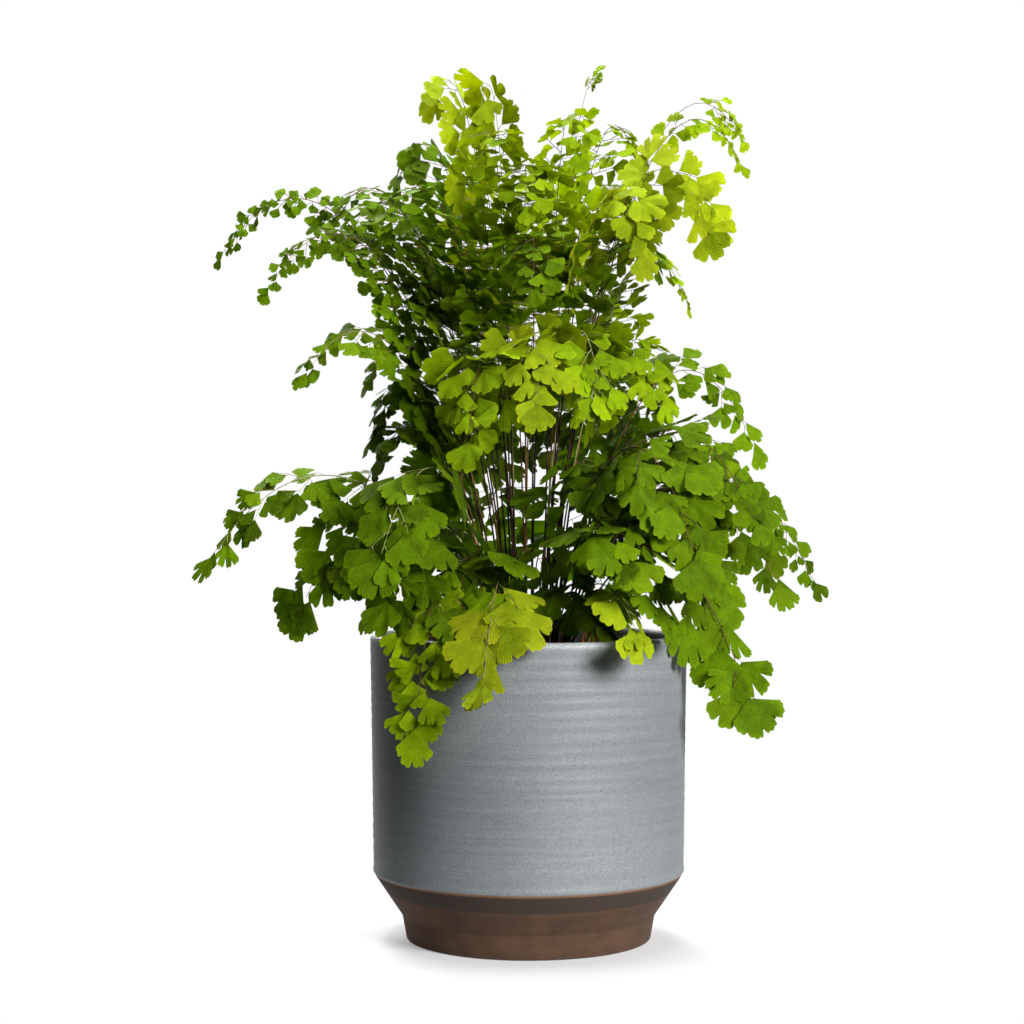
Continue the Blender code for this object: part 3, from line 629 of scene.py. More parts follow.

# Each frond: bearing in degrees from +X, reach of its tip from the middle, height of its
# crest and of its tip, the bare share of its length, its longest side spray, the size of
# one leaflet, how far its blade turns its face to the front in degrees, how level its
# leaflets are held from 0 to 1, and its colour. Lengths in metres. Lime and yellow are young
# fronds' own colours; dark, mid and bright are one green painted darker or lighter, a
# painted shade and painted light for how much light reaches each frond.
HIGH_FRONDS = [
    (173, 0.163, 0.376, 0.342, 0.48, 0.016, 0.0082, 66, 0.0, "mid"),
    (191, 0.133, 0.354, 0.320, 0.46, 0.022, 0.0085, 60, 0.1, "mid"),
    (183, 0.104, 0.378, 0.350, 0.46, 0.032, 0.010, 25, 0.4, "mid"),
    (156, 0.074, 0.405, 0.380, 0.54, 0.034, 0.0140, 40, 0.1, "mid"),
    (196, 0.048, 0.432, 0.420, 0.74, 0.024, 0.017, 55, 0.0, "lime"),
    (232, 0.038, 0.427, 0.404, 0.76, 0.024, 0.018, 30, 0.0, "lime"),
    (-55, 0.046, 0.410, 0.386, 0.64, 0.032, 0.012, 0, 0.4, "bright"),
    (17, 0.040, 0.4405, 0.440, 0.95, 0.011, 0.008, 20, 0.0, "bright"),
    (8, 0.114, 0.425, 0.402, 0.90, 0.013, 0.0080, 66, 0.0, "bright"),
    (12, 0.110, 0.414, 0.386, 0.80, 0.012, 0.0085, 60, 0.0, "bright"),
    (-28, 0.096, 0.384, 0.348, 0.66, 0.030, 0.018, 70, 0.0, "lime"),
    (-47, 0.072, 0.372, 0.336, 0.64, 0.026, 0.016, 40, 0.1, "lime"),
    (10, 0.084, 0.346, 0.318, 0.64, 0.024, 0.010, 30, 0.3, "bright"),
    (150, 0.112, 0.378, 0.352, 0.50, 0.044, 0.012, 0, 0.6, "mid"),
    (120, 0.080, 0.398, 0.374, 0.56, 0.044, 0.012, 0, 0.6, "mid"),
    (76, 0.071, 0.400, 0.380, 0.56, 0.043, 0.012, 0, 0.6, "bright"),
    (22, 0.060, 0.414, 0.394, 0.66, 0.030, 0.011, 20, 0.4, "bright"),
    (-100, 0.056, 0.384, 0.358, 0.60, 0.042, 0.0115, 0, 0.65, "bright"),
    (-140, 0.085, 0.374, 0.348, 0.56, 0.046, 0.012, 15, 0.6, "mid"),
    (232, 0.056, 0.400, 0.378, 0.62, 0.040, 0.0115, 10, 0.6, "bright"),
    (-82, 0.074, 0.348, 0.318, 0.56, 0.046, 0.0135, 0, 0.5, "mid"),
    (-18, 0.066, 0.360, 0.334, 0.56, 0.042, 0.012, 10, 0.6, "mid"),
]
MIDDLE_FRONDS = [
    (194, 0.116, 0.304, 0.280, 0.46, 0.026, 0.0125, 45, 0.1, "mid"),
    (184, 0.082, 0.302, 0.278, 0.46, 0.034, 0.012, 20, 0.4, "mid"),
    (172, 0.080, 0.284, 0.250, 0.38, 0.036, 0.0145, 35, 0.2, "dark"),
    (-110, 0.091, 0.291, 0.244, 0.54, 0.034, 0.018, 0, 0.0, "bright"),
    (-90, 0.090, 0.300, 0.262, 0.58, 0.030, 0.018, 0, 0.0, "lime"),
    (-64, 0.082, 0.302, 0.264, 0.58, 0.032, 0.017, 0, 0.0, "bright"),
    (-39, 0.080, 0.300, 0.266, 0.54, 0.036, 0.015, 15, 0.2, "bright"),
    (-5, 0.115, 0.286, 0.244, 0.44, 0.024, 0.0140, 50, 0.0, "mid"),
    (-20, 0.120, 0.254, 0.206, 0.48, 0.026, 0.014, 40, 0.0, "mid"),
    (-45, 0.114, 0.246, 0.190, 0.44, 0.038, 0.022, 30, 0.0, "mid"),
    (-2, 0.146, 0.236, 0.176, 0.50, 0.018, 0.0120, 50, 0.0, "dark"),
    (-14, 0.126, 0.236, 0.176, 0.46, 0.032, 0.018, 50, 0.0, "dark"),
    (-134, 0.106, 0.236, 0.190, 0.46, 0.038, 0.024, 30, 0.0, "mid"),
    (190, 0.080, 0.258, 0.234, 0.44, 0.036, 0.0140, 10, 0.2, "dark"),
    (48, 0.085, 0.296, 0.256, 0.46, 0.034, 0.013, 0, 0.4, "mid"),
    (71, 0.111, 0.270, 0.207, 0.44, 0.039, 0.015, 0, 0.3, "mid"),
    (98, 0.112, 0.308, 0.256, 0.46, 0.044, 0.014, 0, 0.4, "dark"),
    (122, 0.106, 0.266, 0.204, 0.44, 0.038, 0.015, 0, 0.3, "mid"),
    (-50, 0.062, 0.240, 0.220, 0.48, 0.038, 0.017, 0, 0.3, "dark"),
    (-84, 0.050, 0.196, 0.176, 0.42, 0.036, 0.018, 0, 0.2, "dark"),
]
LOW_FRONDS = [
    (187, 0.160, 0.233, 0.190, 0.44, 0.026, 0.0175, 55, 0.0, "mid"),
    (200, 0.116, 0.214, 0.168, 0.44, 0.042, 0.022, 60, 0.0, "mid"),
    (-20, 0.114, 0.194, 0.121, 0.46, 0.038, 0.025, 70, 0.0, "mid"),
    (-31, 0.108, 0.226, 0.188, 0.46, 0.032, 0.021, 50, 0.0, "mid"),
    (-57, 0.098, 0.212, 0.190, 0.46, 0.040, 0.020, 20, 0.4, "mid"),
    (-55, 0.098, 0.180, 0.158, 0.56, 0.022, 0.020, 0, 0.3, "lime"),
    (-102, 0.104, 0.184, 0.134, 0.50, 0.032, 0.024, 0, 0.0, "yellow"),
    (-129, 0.097, 0.186, 0.108, 0.46, 0.028, 0.018, 20, 0.0, "bright"),
    (-52, 0.056, 0.178, 0.162, 0.36, 0.034, 0.019, 0, 0.3, "dark"),
    (-117, 0.080, 0.196, 0.168, 0.44, 0.040, 0.022, 0, 0.0, "mid"),
    (62, 0.112, 0.206, 0.150, 0.46, 0.036, 0.020, 15, 0.1, "mid"),
    (100, 0.112, 0.228, 0.150, 0.46, 0.042, 0.021, 0, 0.1, "mid"),
    (-42, 0.092, 0.200, 0.165, 0.44, 0.036, 0.020, 0, 0.3, "mid"),
    (143, 0.104, 0.212, 0.164, 0.46, 0.036, 0.021, 15, 0.1, "mid"),
    (221, 0.094, 0.208, 0.170, 0.44, 0.036, 0.021, 20, 0.0, "mid"),
]
TIERS = [("high", HIGH_FRONDS), ("middle", MIDDLE_FRONDS), ("low", LOW_FRONDS)]


def bezier(ends, share):
    """A point on a curve that leaves its first end towards the second."""
    a, b, c, d = ends
    rest = 1 - share
    return a * rest**3 + b * 3 * rest**2 * share + c * 3 * rest * share**2 + d * share**3


def clears_rim(points):
    """Whether a run passes over the pot's rim with room for its leaflets."""
    over = [p for p in points
            if RIM_RADIUS - RIM_INSIDE < math.hypot(p.x, p.y) < RIM_RADIUS + RIM_OUTSIDE]
    return all(p.z > POT_HEIGHT + RIM_ROOM for p in over)


def frond_run(row, nudge, sweep):
    """Points along a frond from the crown to its tip, evenly spaced along its length."""
    bearing, reach, crest, tip = row[:4]
    turn = math.radians(bearing + nudge)
    out = Vector((math.cos(turn), math.sin(turn), 0))
    side = Vector((-math.sin(turn), math.cos(turn), 0))
    tallness = (crest - POT_HEIGHT) / (TALLEST - POT_HEIGHT)
    root_radius = OUTER_ROOT + (INNER_ROOT - OUTER_ROOT) * tallness
    root = out * root_radius + side * ROOT_SHIFT * math.sin(bearing)
    root.z = crown_height(root.x, root.y) + GAP + STALK_THICKNESS * ROOT_LIFT_SHARE
    end = out * reach + side * sweep
    end.z = tip
    knee = root + out * KNEE_REACH * (reach - root_radius)
    knee.z = root.z + KNEE_HEIGHT * (crest - root.z)
    for bend_share in BEND_SHARES:
        bend = out * (bend_share * reach) + side * sweep * BEND_SWEEP
        low, high = crest, crest + BEND_HEADROOM
        for _ in range(BEND_HALVINGS):
            bend.z = (low + high) / 2
            peak = max(bezier((root, knee, bend, end), i / CREST_SAMPLES).z
                       for i in range(CREST_SAMPLES + 1))
            if peak > crest:
                high = bend.z
            else:
                low = bend.z
        raw = [bezier((root, knee, bend, end), i / CURVE_STEPS) for i in range(CURVE_STEPS + 1)]
        if clears_rim(raw):
            break
    lengths = [0.0]
    for before, after in zip(raw, raw[1:]):
        lengths.append(lengths[-1] + (after - before).length)
    total, even, k = lengths[-1], [], 0
    for i in range(CURVE_STEPS + 1):
        target = total * i / CURVE_STEPS
        while k < CURVE_STEPS - 1 and lengths[k + 1] < target:
            k += 1
        step = lengths[k + 1] - lengths[k]
        even.append(raw[k].lerp(raw[k + 1], clamped((target - lengths[k]) / step)))
    return even, total


def frame_at(row, run, roll, share):
    """Place, heading, sideways and upward at a share of a frond's length."""
    at = clamped(share) * (len(run) - 1)
    k = min(int(at), len(run) - 2)
    place = run[k].lerp(run[k + 1], at - k)
    heading = (run[min(k + 2, len(run) - 1)] - run[max(k - 1, 0)]).normalized()
    turn = math.radians(row[0])
    flat_side = Vector((math.sin(turn), -math.cos(turn), 0))
    upward = flat_side.cross(heading).normalized()
    twist = roll * clamped((share - TWIST_START) / TWIST_RUN)
    sideways = heading.cross(upward) * math.cos(twist) + upward * math.sin(twist)
    return place, heading, sideways, sideways.cross(heading).normalized()


def strip_solid(row, run, length, roll, extra):
    """The flat four-sided strip that a stalk takes up, thickened by extra."""
    pinnae = min(max(round((1 - row[4]) * length / PINNA_PITCH), MIN_PINNAE), MAX_PINNAE)
    shares = [row[4] * i / STALK_STEPS for i in range(STALK_STEPS)]
    shares += [row[4] + (BLADE_END - row[4]) * i / pinnae for i in range(pinnae + 1)]
    points = []
    for share in shares:
        place, _, sideways, upward = frame_at(row, run, roll, share)
        sideways = sideways * (STALK_WIDTH + (TIP_WIDTH - STALK_WIDTH) * share) / 2
        upward = upward * ((STALK_THICKNESS + (TIP_WIDTH - STALK_THICKNESS) * share) / 2 + extra)
        points += [place - sideways + upward, place + sideways + upward,
                   place + sideways - upward, place - sideways - upward]
    faces = [(0, 1, 2, 3), tuple(len(points) - n for n in (1, 2, 3, 4))]
    for low in range(0, len(points) - 4, 4):
        for i in range(4):
            j = (i + 1) % 4
            faces.append((low + j, low + i, low + 4 + i, low + 4 + j))
    return points, faces


def tree_of(solids):
    """All of these solids as one tree of triangles, for finding what meets."""
    points, faces = joined(solids)
    triangles = [(f[0], f[i], f[i + 1]) for f in faces for i in range(1, len(f) - 1)]
    return BVHTree.FromPolygons(points, triangles)


def node_solid(name):
    """The points and faces of a part of the frame."""
    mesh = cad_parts[name].data
    return [v.co.copy() for v in mesh.vertices], [tuple(f.vertices) for f in mesh.polygons]


def settle_fronds():
    """The run of every frond, each turned a little where it would meet another."""
    fronds = []
    solids = [node_solid(name) for name in ("pot", "soil", "crown")]
    rows = [(f"{tier}_frond_{n:02d}", row) for tier, rows in TIERS for n, row in enumerate(rows, 1)]
    for index, (name, row) in enumerate(rows):
        chance = random.Random(SEED * 1000 + index)
        sweep = chance.uniform(-SWEEP_LIMIT, SWEEP_LIMIT)
        facing = row[7] * math.cos(math.radians(row[0]))
        roll = math.radians(chance.uniform(-ROLL_LIMIT, ROLL_LIMIT) - facing)
        others = tree_of(solids)
        for step in range(TURN_TRIES):
            nudge = TURN_STEP * ((step + 1) // 2) * (1 if step % 2 else -1)
            run, length = frond_run(row, nudge, sweep)
            if not others.overlap(tree_of([strip_solid(row, run, length, roll, STALK_ROOM)])):
                break
        solids.append(strip_solid(row, run, length, roll, 0.0))
        fronds.append({"name": name, "row": row, "run": run, "length": length, "roll": roll,
                       "chance": chance, "ribs": [], "leaves": []})
    return fronds


def stalk_finish():
    finish, paint, place = new_finish("stalk_finish")
    tone = paint.mark("tone")
    lines = place.stretched(1, 1, 0.12).noise(1400.0, 2.0)
    streak = lines.rise(0.35, 0.7)
    dark = streak.mixed(colour(0.010, 0.005, 0.004), colour(0.040, 0.018, 0.010))
    brown = streak.mixed(colour(0.085, 0.040, 0.014), colour(0.190, 0.105, 0.040))
    olive = streak.mixed(colour(0.150, 0.170, 0.045), colour(0.300, 0.300, 0.110))
    base = tone.rise(0.10, 0.55).mixed(dark, brown)
    base = tone.rise(0.60, 1.00).mixed(base, olive)
    paint.show(paint.skin(base, lines * 0.2 + 0.30, paint.bump(lines, 0.25, 0.0002), 0.12))
    return finish


fronds = settle_fronds()


# ---- the leaflets ----
# Every frond ends in thin, hairless, fan-shaped leaflets on hair-like stalks. Each is a wedge
# at its base, where it has no midrib, and lobed and finely scalloped along its outer edge,
# with veins that fork outwards. They let light through, and hang a little from their stalks.
LEAF_THICKNESS = 0.00022
LIGHT_THROUGH = 0.46
# dark, mid and bright are shaded and lit copies of one green, painted shade and painted light; lime and
# yellow are young fronds' own colours
LEAF_GREENS_AND_PAINTED_LIGHT = {
    "dark": (colour(0.030, 0.062, 0.001), colour(0.122, 0.224, 0.003)),
    "mid": (colour(0.034, 0.067, 0.001), colour(0.156, 0.280, 0.003)),
    "bright": (colour(0.082, 0.150, 0.001), colour(0.290, 0.455, 0.005)),
    "lime": (colour(0.134, 0.200, 0.002), colour(0.368, 0.484, 0.012)),
    "yellow": (colour(0.112, 0.172, 0.002), colour(0.345, 0.428, 0.012)),
}
SMALL_LEAF = 0.0125
LARGE_LEAF = 0.0185
STOCK_SIZES = (("small", 0.010), ("medium", 0.015), ("large", 0.022))
STOCK_COUNT = 26
# the edge of a leaflet: its lobes' depth against a grown one's, the depth of its teeth, its
# half spread in degrees, and how often a cleft runs deep between two lobes
YOUNG_EDGE = (0.55, 0.02, (34, 52), 0.2)
GROWN_EDGE = (1.0, 0.045, (42, 64), 0.4)
DEEPEST_BITE = 0.62
# the mesh of a leaflet: how many lobes, teeth and columns to each, and rings out to the edge
LEAF_BUILD = {
    "small": ((2, 2, 3, 3), 2, 8, (0.66, 1.0)),
    "medium": ((3, 3, 4, 4), 2, 8, (0.45, 0.82, 1.0)),
    "large": ((3, 4, 4, 5), 3, 12, (0.32, 0.64, 0.87, 1.0)),
}
# where a leaflet's disc lies: how far it is turned from the leaflet's stalk, and its radius
BODY_TURN = {"fan": 0, "left wing": 31, "right wing": -31}
BODY_RADIUS = {"fan": 0.48, "left wing": 0.36, "right wing": 0.36}
BODY_REACH = 0.52
DISC_SHARE = 0.74
NEAR_FLAT = 0.15
CELL = 0.022
# how a leaflet is fitted in: how many tries, when it shrinks and to what, and how it turns
LEAF_TRIES = 20
TRIES_AT_FULL_SIZE = 10
SHRUNK = 0.84
LOOSENING = 1.8
POT_CLEARANCE = 0.0012
# the side sprays, with shares of a leaflet's or of a rib's length
BASE_RAMP = 0.12
BASE_FULLNESS = 0.55
TAPER_POWER = 0.9
LONE_LEAFLET = 1.15
LONE_LEAFLET_TAPER = 0.35
SPRAY_GAP = 0.0012
SPRAY_GAP_SHARE = 0.32
SPRAY_SWING, SPRAY_SWING_RISE = 30, 12
SPRAY_DROOP = 0.14
HANG = 0.5
SMALL_RUFFLE = 21
LARGE_RUFFLE = 18
SHINGLE = 0.0009
LONE_LEAFLET_UNDER = 1.5
RIB_STEP = 0.006
RIB_CURL = 0.16
RIB_SAG = 0.14
RIB_RADII = (0.00021, 0.00013)
LEAFLET_STALK_RADII = (0.00016, 0.00013)
LEAFLET_STALK = 0.10
LEAFLET_PITCH = 0.40
WINGED_SHARE = 0.72


def size_label(size):
    return "small" if size < SMALL_LEAF else "medium" if size < LARGE_LEAF else "large"


def leaf_outline(kind, steps, size, lobes, teeth, chance):
    """Angles and reach of a leaflet's outer edge. A wing is one half of a fan."""
    lobing, tooth_depth, half_spreads, cleft_chance = YOUNG_EDGE if size < SMALL_LEAF else GROWN_EDGE
    lobe_depth, lobe_sharpness = chance.uniform(0.10, 0.24), chance.uniform(3.0, 6.0)
    lobe_depth *= lobing
    if kind == "fan":
        spread = math.radians(chance.uniform(*half_spreads))
        angles = spread * (2 * steps - 1)
        edge = size * (1.0 - 0.20 * np.abs(2 * steps - 1) ** 2.2
                       + chance.uniform(-0.2, 0.2) * (steps - 0.5))
    else:
        first, last = math.radians(chance.uniform(-16, -6)), math.radians(chance.uniform(62, 80))
        angles = first + (last - first) * steps
        edge = size * (1.0 - chance.uniform(0.22, 0.42) * steps ** 1.4)
    sizes = np.array([1 + chance.uniform(-0.08, 0.08) for _ in range(lobes)])
    within = (steps * lobes) % 1.0
    which = np.minimum((steps * lobes).astype(int), lobes - 1)
    finer = (steps * lobes * teeth) % 1.0
    bite = lobe_depth * np.abs(2 * within - 1) ** lobe_sharpness
    bite += tooth_depth * np.abs(2 * finer - 1) ** 2
    bite[[0, -1]] = lobe_depth * 0.45
    for cleft_at in range(1, lobes):
        if chance.random() < cleft_chance:
            bite += chance.uniform(0.06, 0.32) * np.exp(-(((steps * lobes - cleft_at) / 0.10) ** 2))
    bite = np.minimum(bite, DEEPEST_BITE)
    return angles, edge, edge * sizes[which] * (1 - bite)


def leaf_form(kind, size, chance):
    """Local points of one leaflet, its faces and its marks. It lies along +X and faces +Z."""
    lobe_counts, teeth, columns_each, shares = LEAF_BUILD[size_label(size)]
    lobes = chance.choice(lobe_counts)
    columns, rings = lobes * columns_each, len(shares)
    steps = np.arange(columns + 1) / columns
    angles, edge, rim = leaf_outline(kind, steps, size, lobes, teeth, chance)
    cup, fold = chance.uniform(-0.12, 0.22), chance.uniform(-0.06, 0.18)
    droop, ripple = chance.uniform(0.03, 0.24), chance.uniform(0.010, 0.040)
    ripples, phase = chance.uniform(2.2, 4.5), chance.uniform(0, 6.28)
    index_top, index_low = np.zeros((2, columns + 1, rings + 1), int)
    points, marks = [(0.0, 0.0, 0.0)], [(0.5, 0.0, 0.0)]
    for layer in (1, -1):
        for j, share in enumerate(shares, 1):
            reach = edge * share + (rim - edge) * share ** 4
            x, y = reach * np.cos(angles), reach * np.sin(angles)
            z = size * (0.8 * cup * (y / size) ** 2 - 0.5 * droop * (x / size) ** 2
                        - 0.35 * fold * np.abs(y / size)
                        + ripple * share ** 1.5 * np.sin(2 * ripples * angles + phase))
            for i in range(columns + 1):
                border = i in (0, columns) or j == rings
                if layer < 0 and border:
                    index_low[i, j] = index_top[i, j]
                    continue
                table = index_top if layer > 0 else index_low
                table[i, j] = len(points)
                lift = 0.0 if border else layer * LEAF_THICKNESS / 2
                points.append((x[i], y[i], z[i] + lift))
                marks.append((steps[i], share, 0.0))
    faces = []
    for table, top in ((index_top, True), (index_low, False)):
        for i in range(columns):
            near = [(0, table[i, 1], table[i + 1, 1])]
            near += [(table[i, j], table[i, j + 1], table[i + 1, j + 1], table[i + 1, j])
                     for j in range(1, rings)]
            faces += near if top else [tuple(reversed(f)) for f in near]
    points = np.array(points)
    if kind == "right wing":
        points[:, 1] *= -1
        faces = [tuple(reversed(f)) for f in faces]
    return points / size, faces, np.array(marks)


def leaf_stock():
    """A stock of leaflet shapes of each kind in three sizes, each of them one unit long."""
    chance = random.Random(77)
    return {(kind, label): [leaf_form(kind, size, chance) for _ in range(STOCK_COUNT)]
            for kind in BODY_TURN for label, size in STOCK_SIZES}


def rotated(vector, axis, degrees):
    """The vector turned about an axis of unit length."""
    turn = math.radians(degrees)
    spin = vector * math.cos(turn) + axis.cross(vector) * math.sin(turn)
    return spin + axis * axis.dot(vector) * (1 - math.cos(turn))


def spray_length(row, share):
    """Length of the side spray at a share of the blade, longest near its base."""
    longest, leaflet = row[5], row[6]
    fullness = min(share / BASE_RAMP + BASE_FULLNESS, 1.0) * (1 - share) ** TAPER_POWER
    alone = leaflet * (LONE_LEAFLET - LONE_LEAFLET_TAPER * share)
    return alone + (longest - leaflet * LONE_LEAFLET) * fullness


class Thicket:
    """What already grows, kept in cells, so that a new leaflet can be tried for room."""

    def __init__(self):
        self.discs, self.wires = {}, {}

    def cell(self, place):
        """The number of the cell that a place lies in, along each axis."""
        return tuple(int(math.floor(c / CELL)) for c in place)

    def near(self, store, place):
        """What a store holds in the cells round a place."""
        a, b, c = self.cell(place)
        for i in (a - 1, a, a + 1):
            for j in (b - 1, b, b + 1):
                for k in (c - 1, c, c + 1):
                    yield from store.get((i, j, k), ())

    def add_disc(self, centre, normal, radius):
        self.discs.setdefault(self.cell(centre), []).append((centre, normal, radius))

    def add_wire(self, start, end, owner):
        self.wires.setdefault(self.cell((start + end) / 2), []).append((start, end, owner))

    def discs_meet(self, centre, normal, radius):
        """Whether a disc would cut through one that is there, or lie on it."""
        for other, other_normal, other_radius in self.near(self.discs, centre):
            gap = other - centre
            distance = gap.length
            if distance > radius + other_radius:
                continue
            line = normal.cross(other_normal)
            if line.length < NEAR_FLAT:
                if abs(gap.dot(normal)) < 0.0007 and distance < 0.72 * (radius + other_radius):
                    return True
                continue
            line.normalize()
            across = line.cross(normal)
            slope = across.dot(other_normal)
            reach = gap.dot(other_normal) / slope
            if abs(reach) >= radius:
                continue
            half = math.sqrt(radius * radius - reach * reach)
            offset = centre + across * reach - other
            shift = offset.dot(line)
            aside = offset.length_squared - shift * shift
            if aside >= other_radius * other_radius:
                continue
            if abs(shift) < half + math.sqrt(other_radius * other_radius - aside):
                return True
        return False

    def wires_meet(self, centre, normal, radius, owner):
        """Whether a disc would be pierced by a stalk or rib of another frond."""
        for start, end, whose in self.near(self.wires, centre):
            before, after = (start - centre).dot(normal), (end - centre).dot(normal)
            if whose == owner or before * after > 0:
                continue
            crossing = start.lerp(end, before / (before - after) if before != after else 0)
            if (crossing - centre).length < radius:
                return True
        return False


def in_pot(place):
    """Whether a point is in the pot's wall or lip, in the soil, or too close to them."""
    radius = math.hypot(place.x, place.y)
    if place.z > POT_HEIGHT + POT_CLEARANCE or radius > wall_radius(place.z) + POT_CLEARANCE:
        return False
    if place.z < SOIL_TOP_HEIGHT + 0.002:
        return True
    return radius > inner_radius(place.z) - 0.001


def leaf_is_free(thicket, centre, along, normal, radius, owner):
    """Whether the disc that a leaflet fills is clear of the pot, the stalks and other leaflets."""
    side = normal.cross(along)
    spots = ((0, 0), (1, 0), (0, 1), (0, -1), (0.7, 0.7), (0.7, -0.7), (-0.6, 0.6), (-0.6, -0.6))
    if any(in_pot(centre + (along * a + side * b) * radius) for a, b in spots):
        return False
    if thicket.discs_meet(centre, normal, radius * DISC_SHARE):
        return False
    return not thicket.wires_meet(centre, normal, radius * 0.75, owner)


def try_leaf(thicket, frond, kind, base, along, normal, size):
    """Place a leaflet where it has room, turned or shrunk a little, or leave it out."""
    chance = frond["chance"]
    for attempt in range(LEAF_TRIES):
        loose = (14 if size < SMALL_LEAF else 10) + LOOSENING * attempt
        tilt = rotated(along, normal, chance.uniform(-loose, loose) * 0.6)
        face = rotated(normal, tilt, chance.uniform(-loose, loose))
        pitch = face.cross(tilt)
        lift = chance.uniform(-loose, loose * 0.7)
        tilt, face = rotated(tilt, pitch, lift), rotated(face, pitch, lift)
        fit = size * (1.0 if attempt < TRIES_AT_FULL_SIZE else SHRUNK)
        centre = base + rotated(tilt, face, BODY_TURN[kind]) * fit * BODY_REACH
        radius = fit * BODY_RADIUS[kind]
        if leaf_is_free(thicket, centre, tilt, face, radius, frond["name"]):
            thicket.add_disc(centre, face, radius * DISC_SHARE)
            frond["leaves"].append((kind, base, tilt, face, fit, chance.random(), chance.random()))
            return True
    return False


def grow_spray(thicket, frond, root, heading, normal, length, leaf, curl, side):
    """A side rib with leaflets left and right along it and one at its end."""
    chance, name = frond["chance"], frond["name"]
    sag = Vector((0, 0, -1))
    hang = HANG * (1 - frond["row"][8]) * min(leaf / LARGE_LEAF, 1)
    single = length < LONE_LEAFLET_UNDER * leaf
    steps = max(int(length / RIB_STEP), 3)
    rib_length = leaf * 0.24 if single else length - leaf * 0.90
    path = []
    for i in range(steps + 1):
        s = i / steps
        path.append(root + heading * rib_length * s + curl * rib_length * RIB_CURL * s * s
                    + sag * rib_length * RIB_SAG * s * s)
    frond["ribs"].append((path, RIB_RADII))
    end_heading = (path[-1] - path[-2]).normalized()
    normal = (normal - end_heading * normal.dot(end_heading)).normalized()
    pitch = leaf * LEAFLET_PITCH
    count = 0 if single else max(int((rib_length - leaf * 0.05) / pitch) + 1, 1)
    turn_side = -side
    for i in range(count):
        at = (leaf * LEAFLET_STALK + pitch * (i + chance.uniform(-0.1, 0.1))) / rib_length
        if at > 0.97:
            break
        spot = clamped(at) * steps
        k = min(int(spot), steps - 1)
        base = path[k].lerp(path[k + 1], spot - k)
        forward = (path[k + 1] - path[k]).normalized()
        face = (normal - forward * normal.dot(forward)).normalized()
        winged = chance.random() < WINGED_SHARE
        kind = ("right wing" if turn_side > 0 else "left wing") if winged else "fan"
        swing = chance.uniform(72, 88) if winged else chance.uniform(48, 62)
        along = rotated(forward, face, turn_side * swing)
        along = (along + sag * hang).normalized()
        face = (face - along * face.dot(along)).normalized()
        size = leaf * chance.uniform(0.80, 1.04) * (1.0 - 0.14 * at)
        foot = base + along * leaf * LEAFLET_STALK + face * SHINGLE * (1 if i % 2 else -1)
        if try_leaf(thicket, frond, kind, foot, along, face, size):
            frond["ribs"].append(([base, foot + along * 0.0006], LEAFLET_STALK_RADII))
        turn_side = -turn_side
    kind = "fan"
    if single and chance.random() < 0.5:
        kind = "left wing" if side > 0 else "right wing"
    end_heading = (end_heading + sag * hang).normalized()
    normal = (normal - end_heading * normal.dot(end_heading)).normalized()
    try_leaf(thicket, frond, kind, path[-1], end_heading, normal, leaf * chance.uniform(0.92, 1.12))
    for start, end in zip(path, path[1:]):
        thicket.add_wire(start, end, name)


def grow_blade(thicket, frond, index):
    """All the side sprays of a frond and the leaflet at its tip."""
    row, run, roll, chance = (frond[k] for k in ("row", "run", "roll", "chance"))
    bare, leaf, level = row[4], row[6], row[8]
    ruffle = SMALL_RUFFLE if leaf < SMALL_LEAF else LARGE_RUFFLE
    pitch = SPRAY_GAP + SPRAY_GAP_SHARE * leaf
    count = max(int((BLADE_END - bare) * frond["length"] / pitch), 4)
    for k in range(count):
        share = (k + 0.5) / count
        along_frond = bare + (0.975 - bare) * (share + chance.uniform(-0.2, 0.2) / count)
        place, heading, sideways, upward = frame_at(row, run, roll, along_frond)
        side = 1 if (k + index) % 2 else -1
        swing = SPRAY_SWING + SPRAY_SWING_RISE * share + chance.uniform(-0.6, 0.6) * ruffle
        out = rotated(sideways * side, upward * side, swing)
        out = rotated(out, heading * side, chance.uniform(-0.8, 0.8) * ruffle)
        out.z *= 1 - level
        out = (out + Vector((0, 0, -SPRAY_DROOP))).normalized()
        facing = upward.lerp(Vector((0, 0, 1)), level)
        normal = (facing - out * facing.dot(out)).normalized()
        normal = rotated(normal, out, chance.uniform(-1, 1) * ruffle)
        length = spray_length(row, share) * chance.uniform(0.95, 1.22)
        size = leaf * chance.uniform(0.88, 1.10) * (1 - 0.30 * share)
        grow_spray(thicket, frond, place, out, normal, length, size, heading, side)
    place, heading, sideways, upward = frame_at(row, run, roll, BLADE_END)
    try_leaf(thicket, frond, "fan", place, heading, upward, leaf * 0.85)


def grow_all(fronds):
    """Leaflets for every frond in turn, each with room beside what grew before it."""
    thicket = Thicket()
    for frond in fronds:
        run = frond["run"]
        for k in range(0, CURVE_STEPS, 2):
            thicket.add_wire(run[k], run[k + 2], frond["name"])
    for index, frond in enumerate(fronds):
        grow_blade(thicket, frond, index)


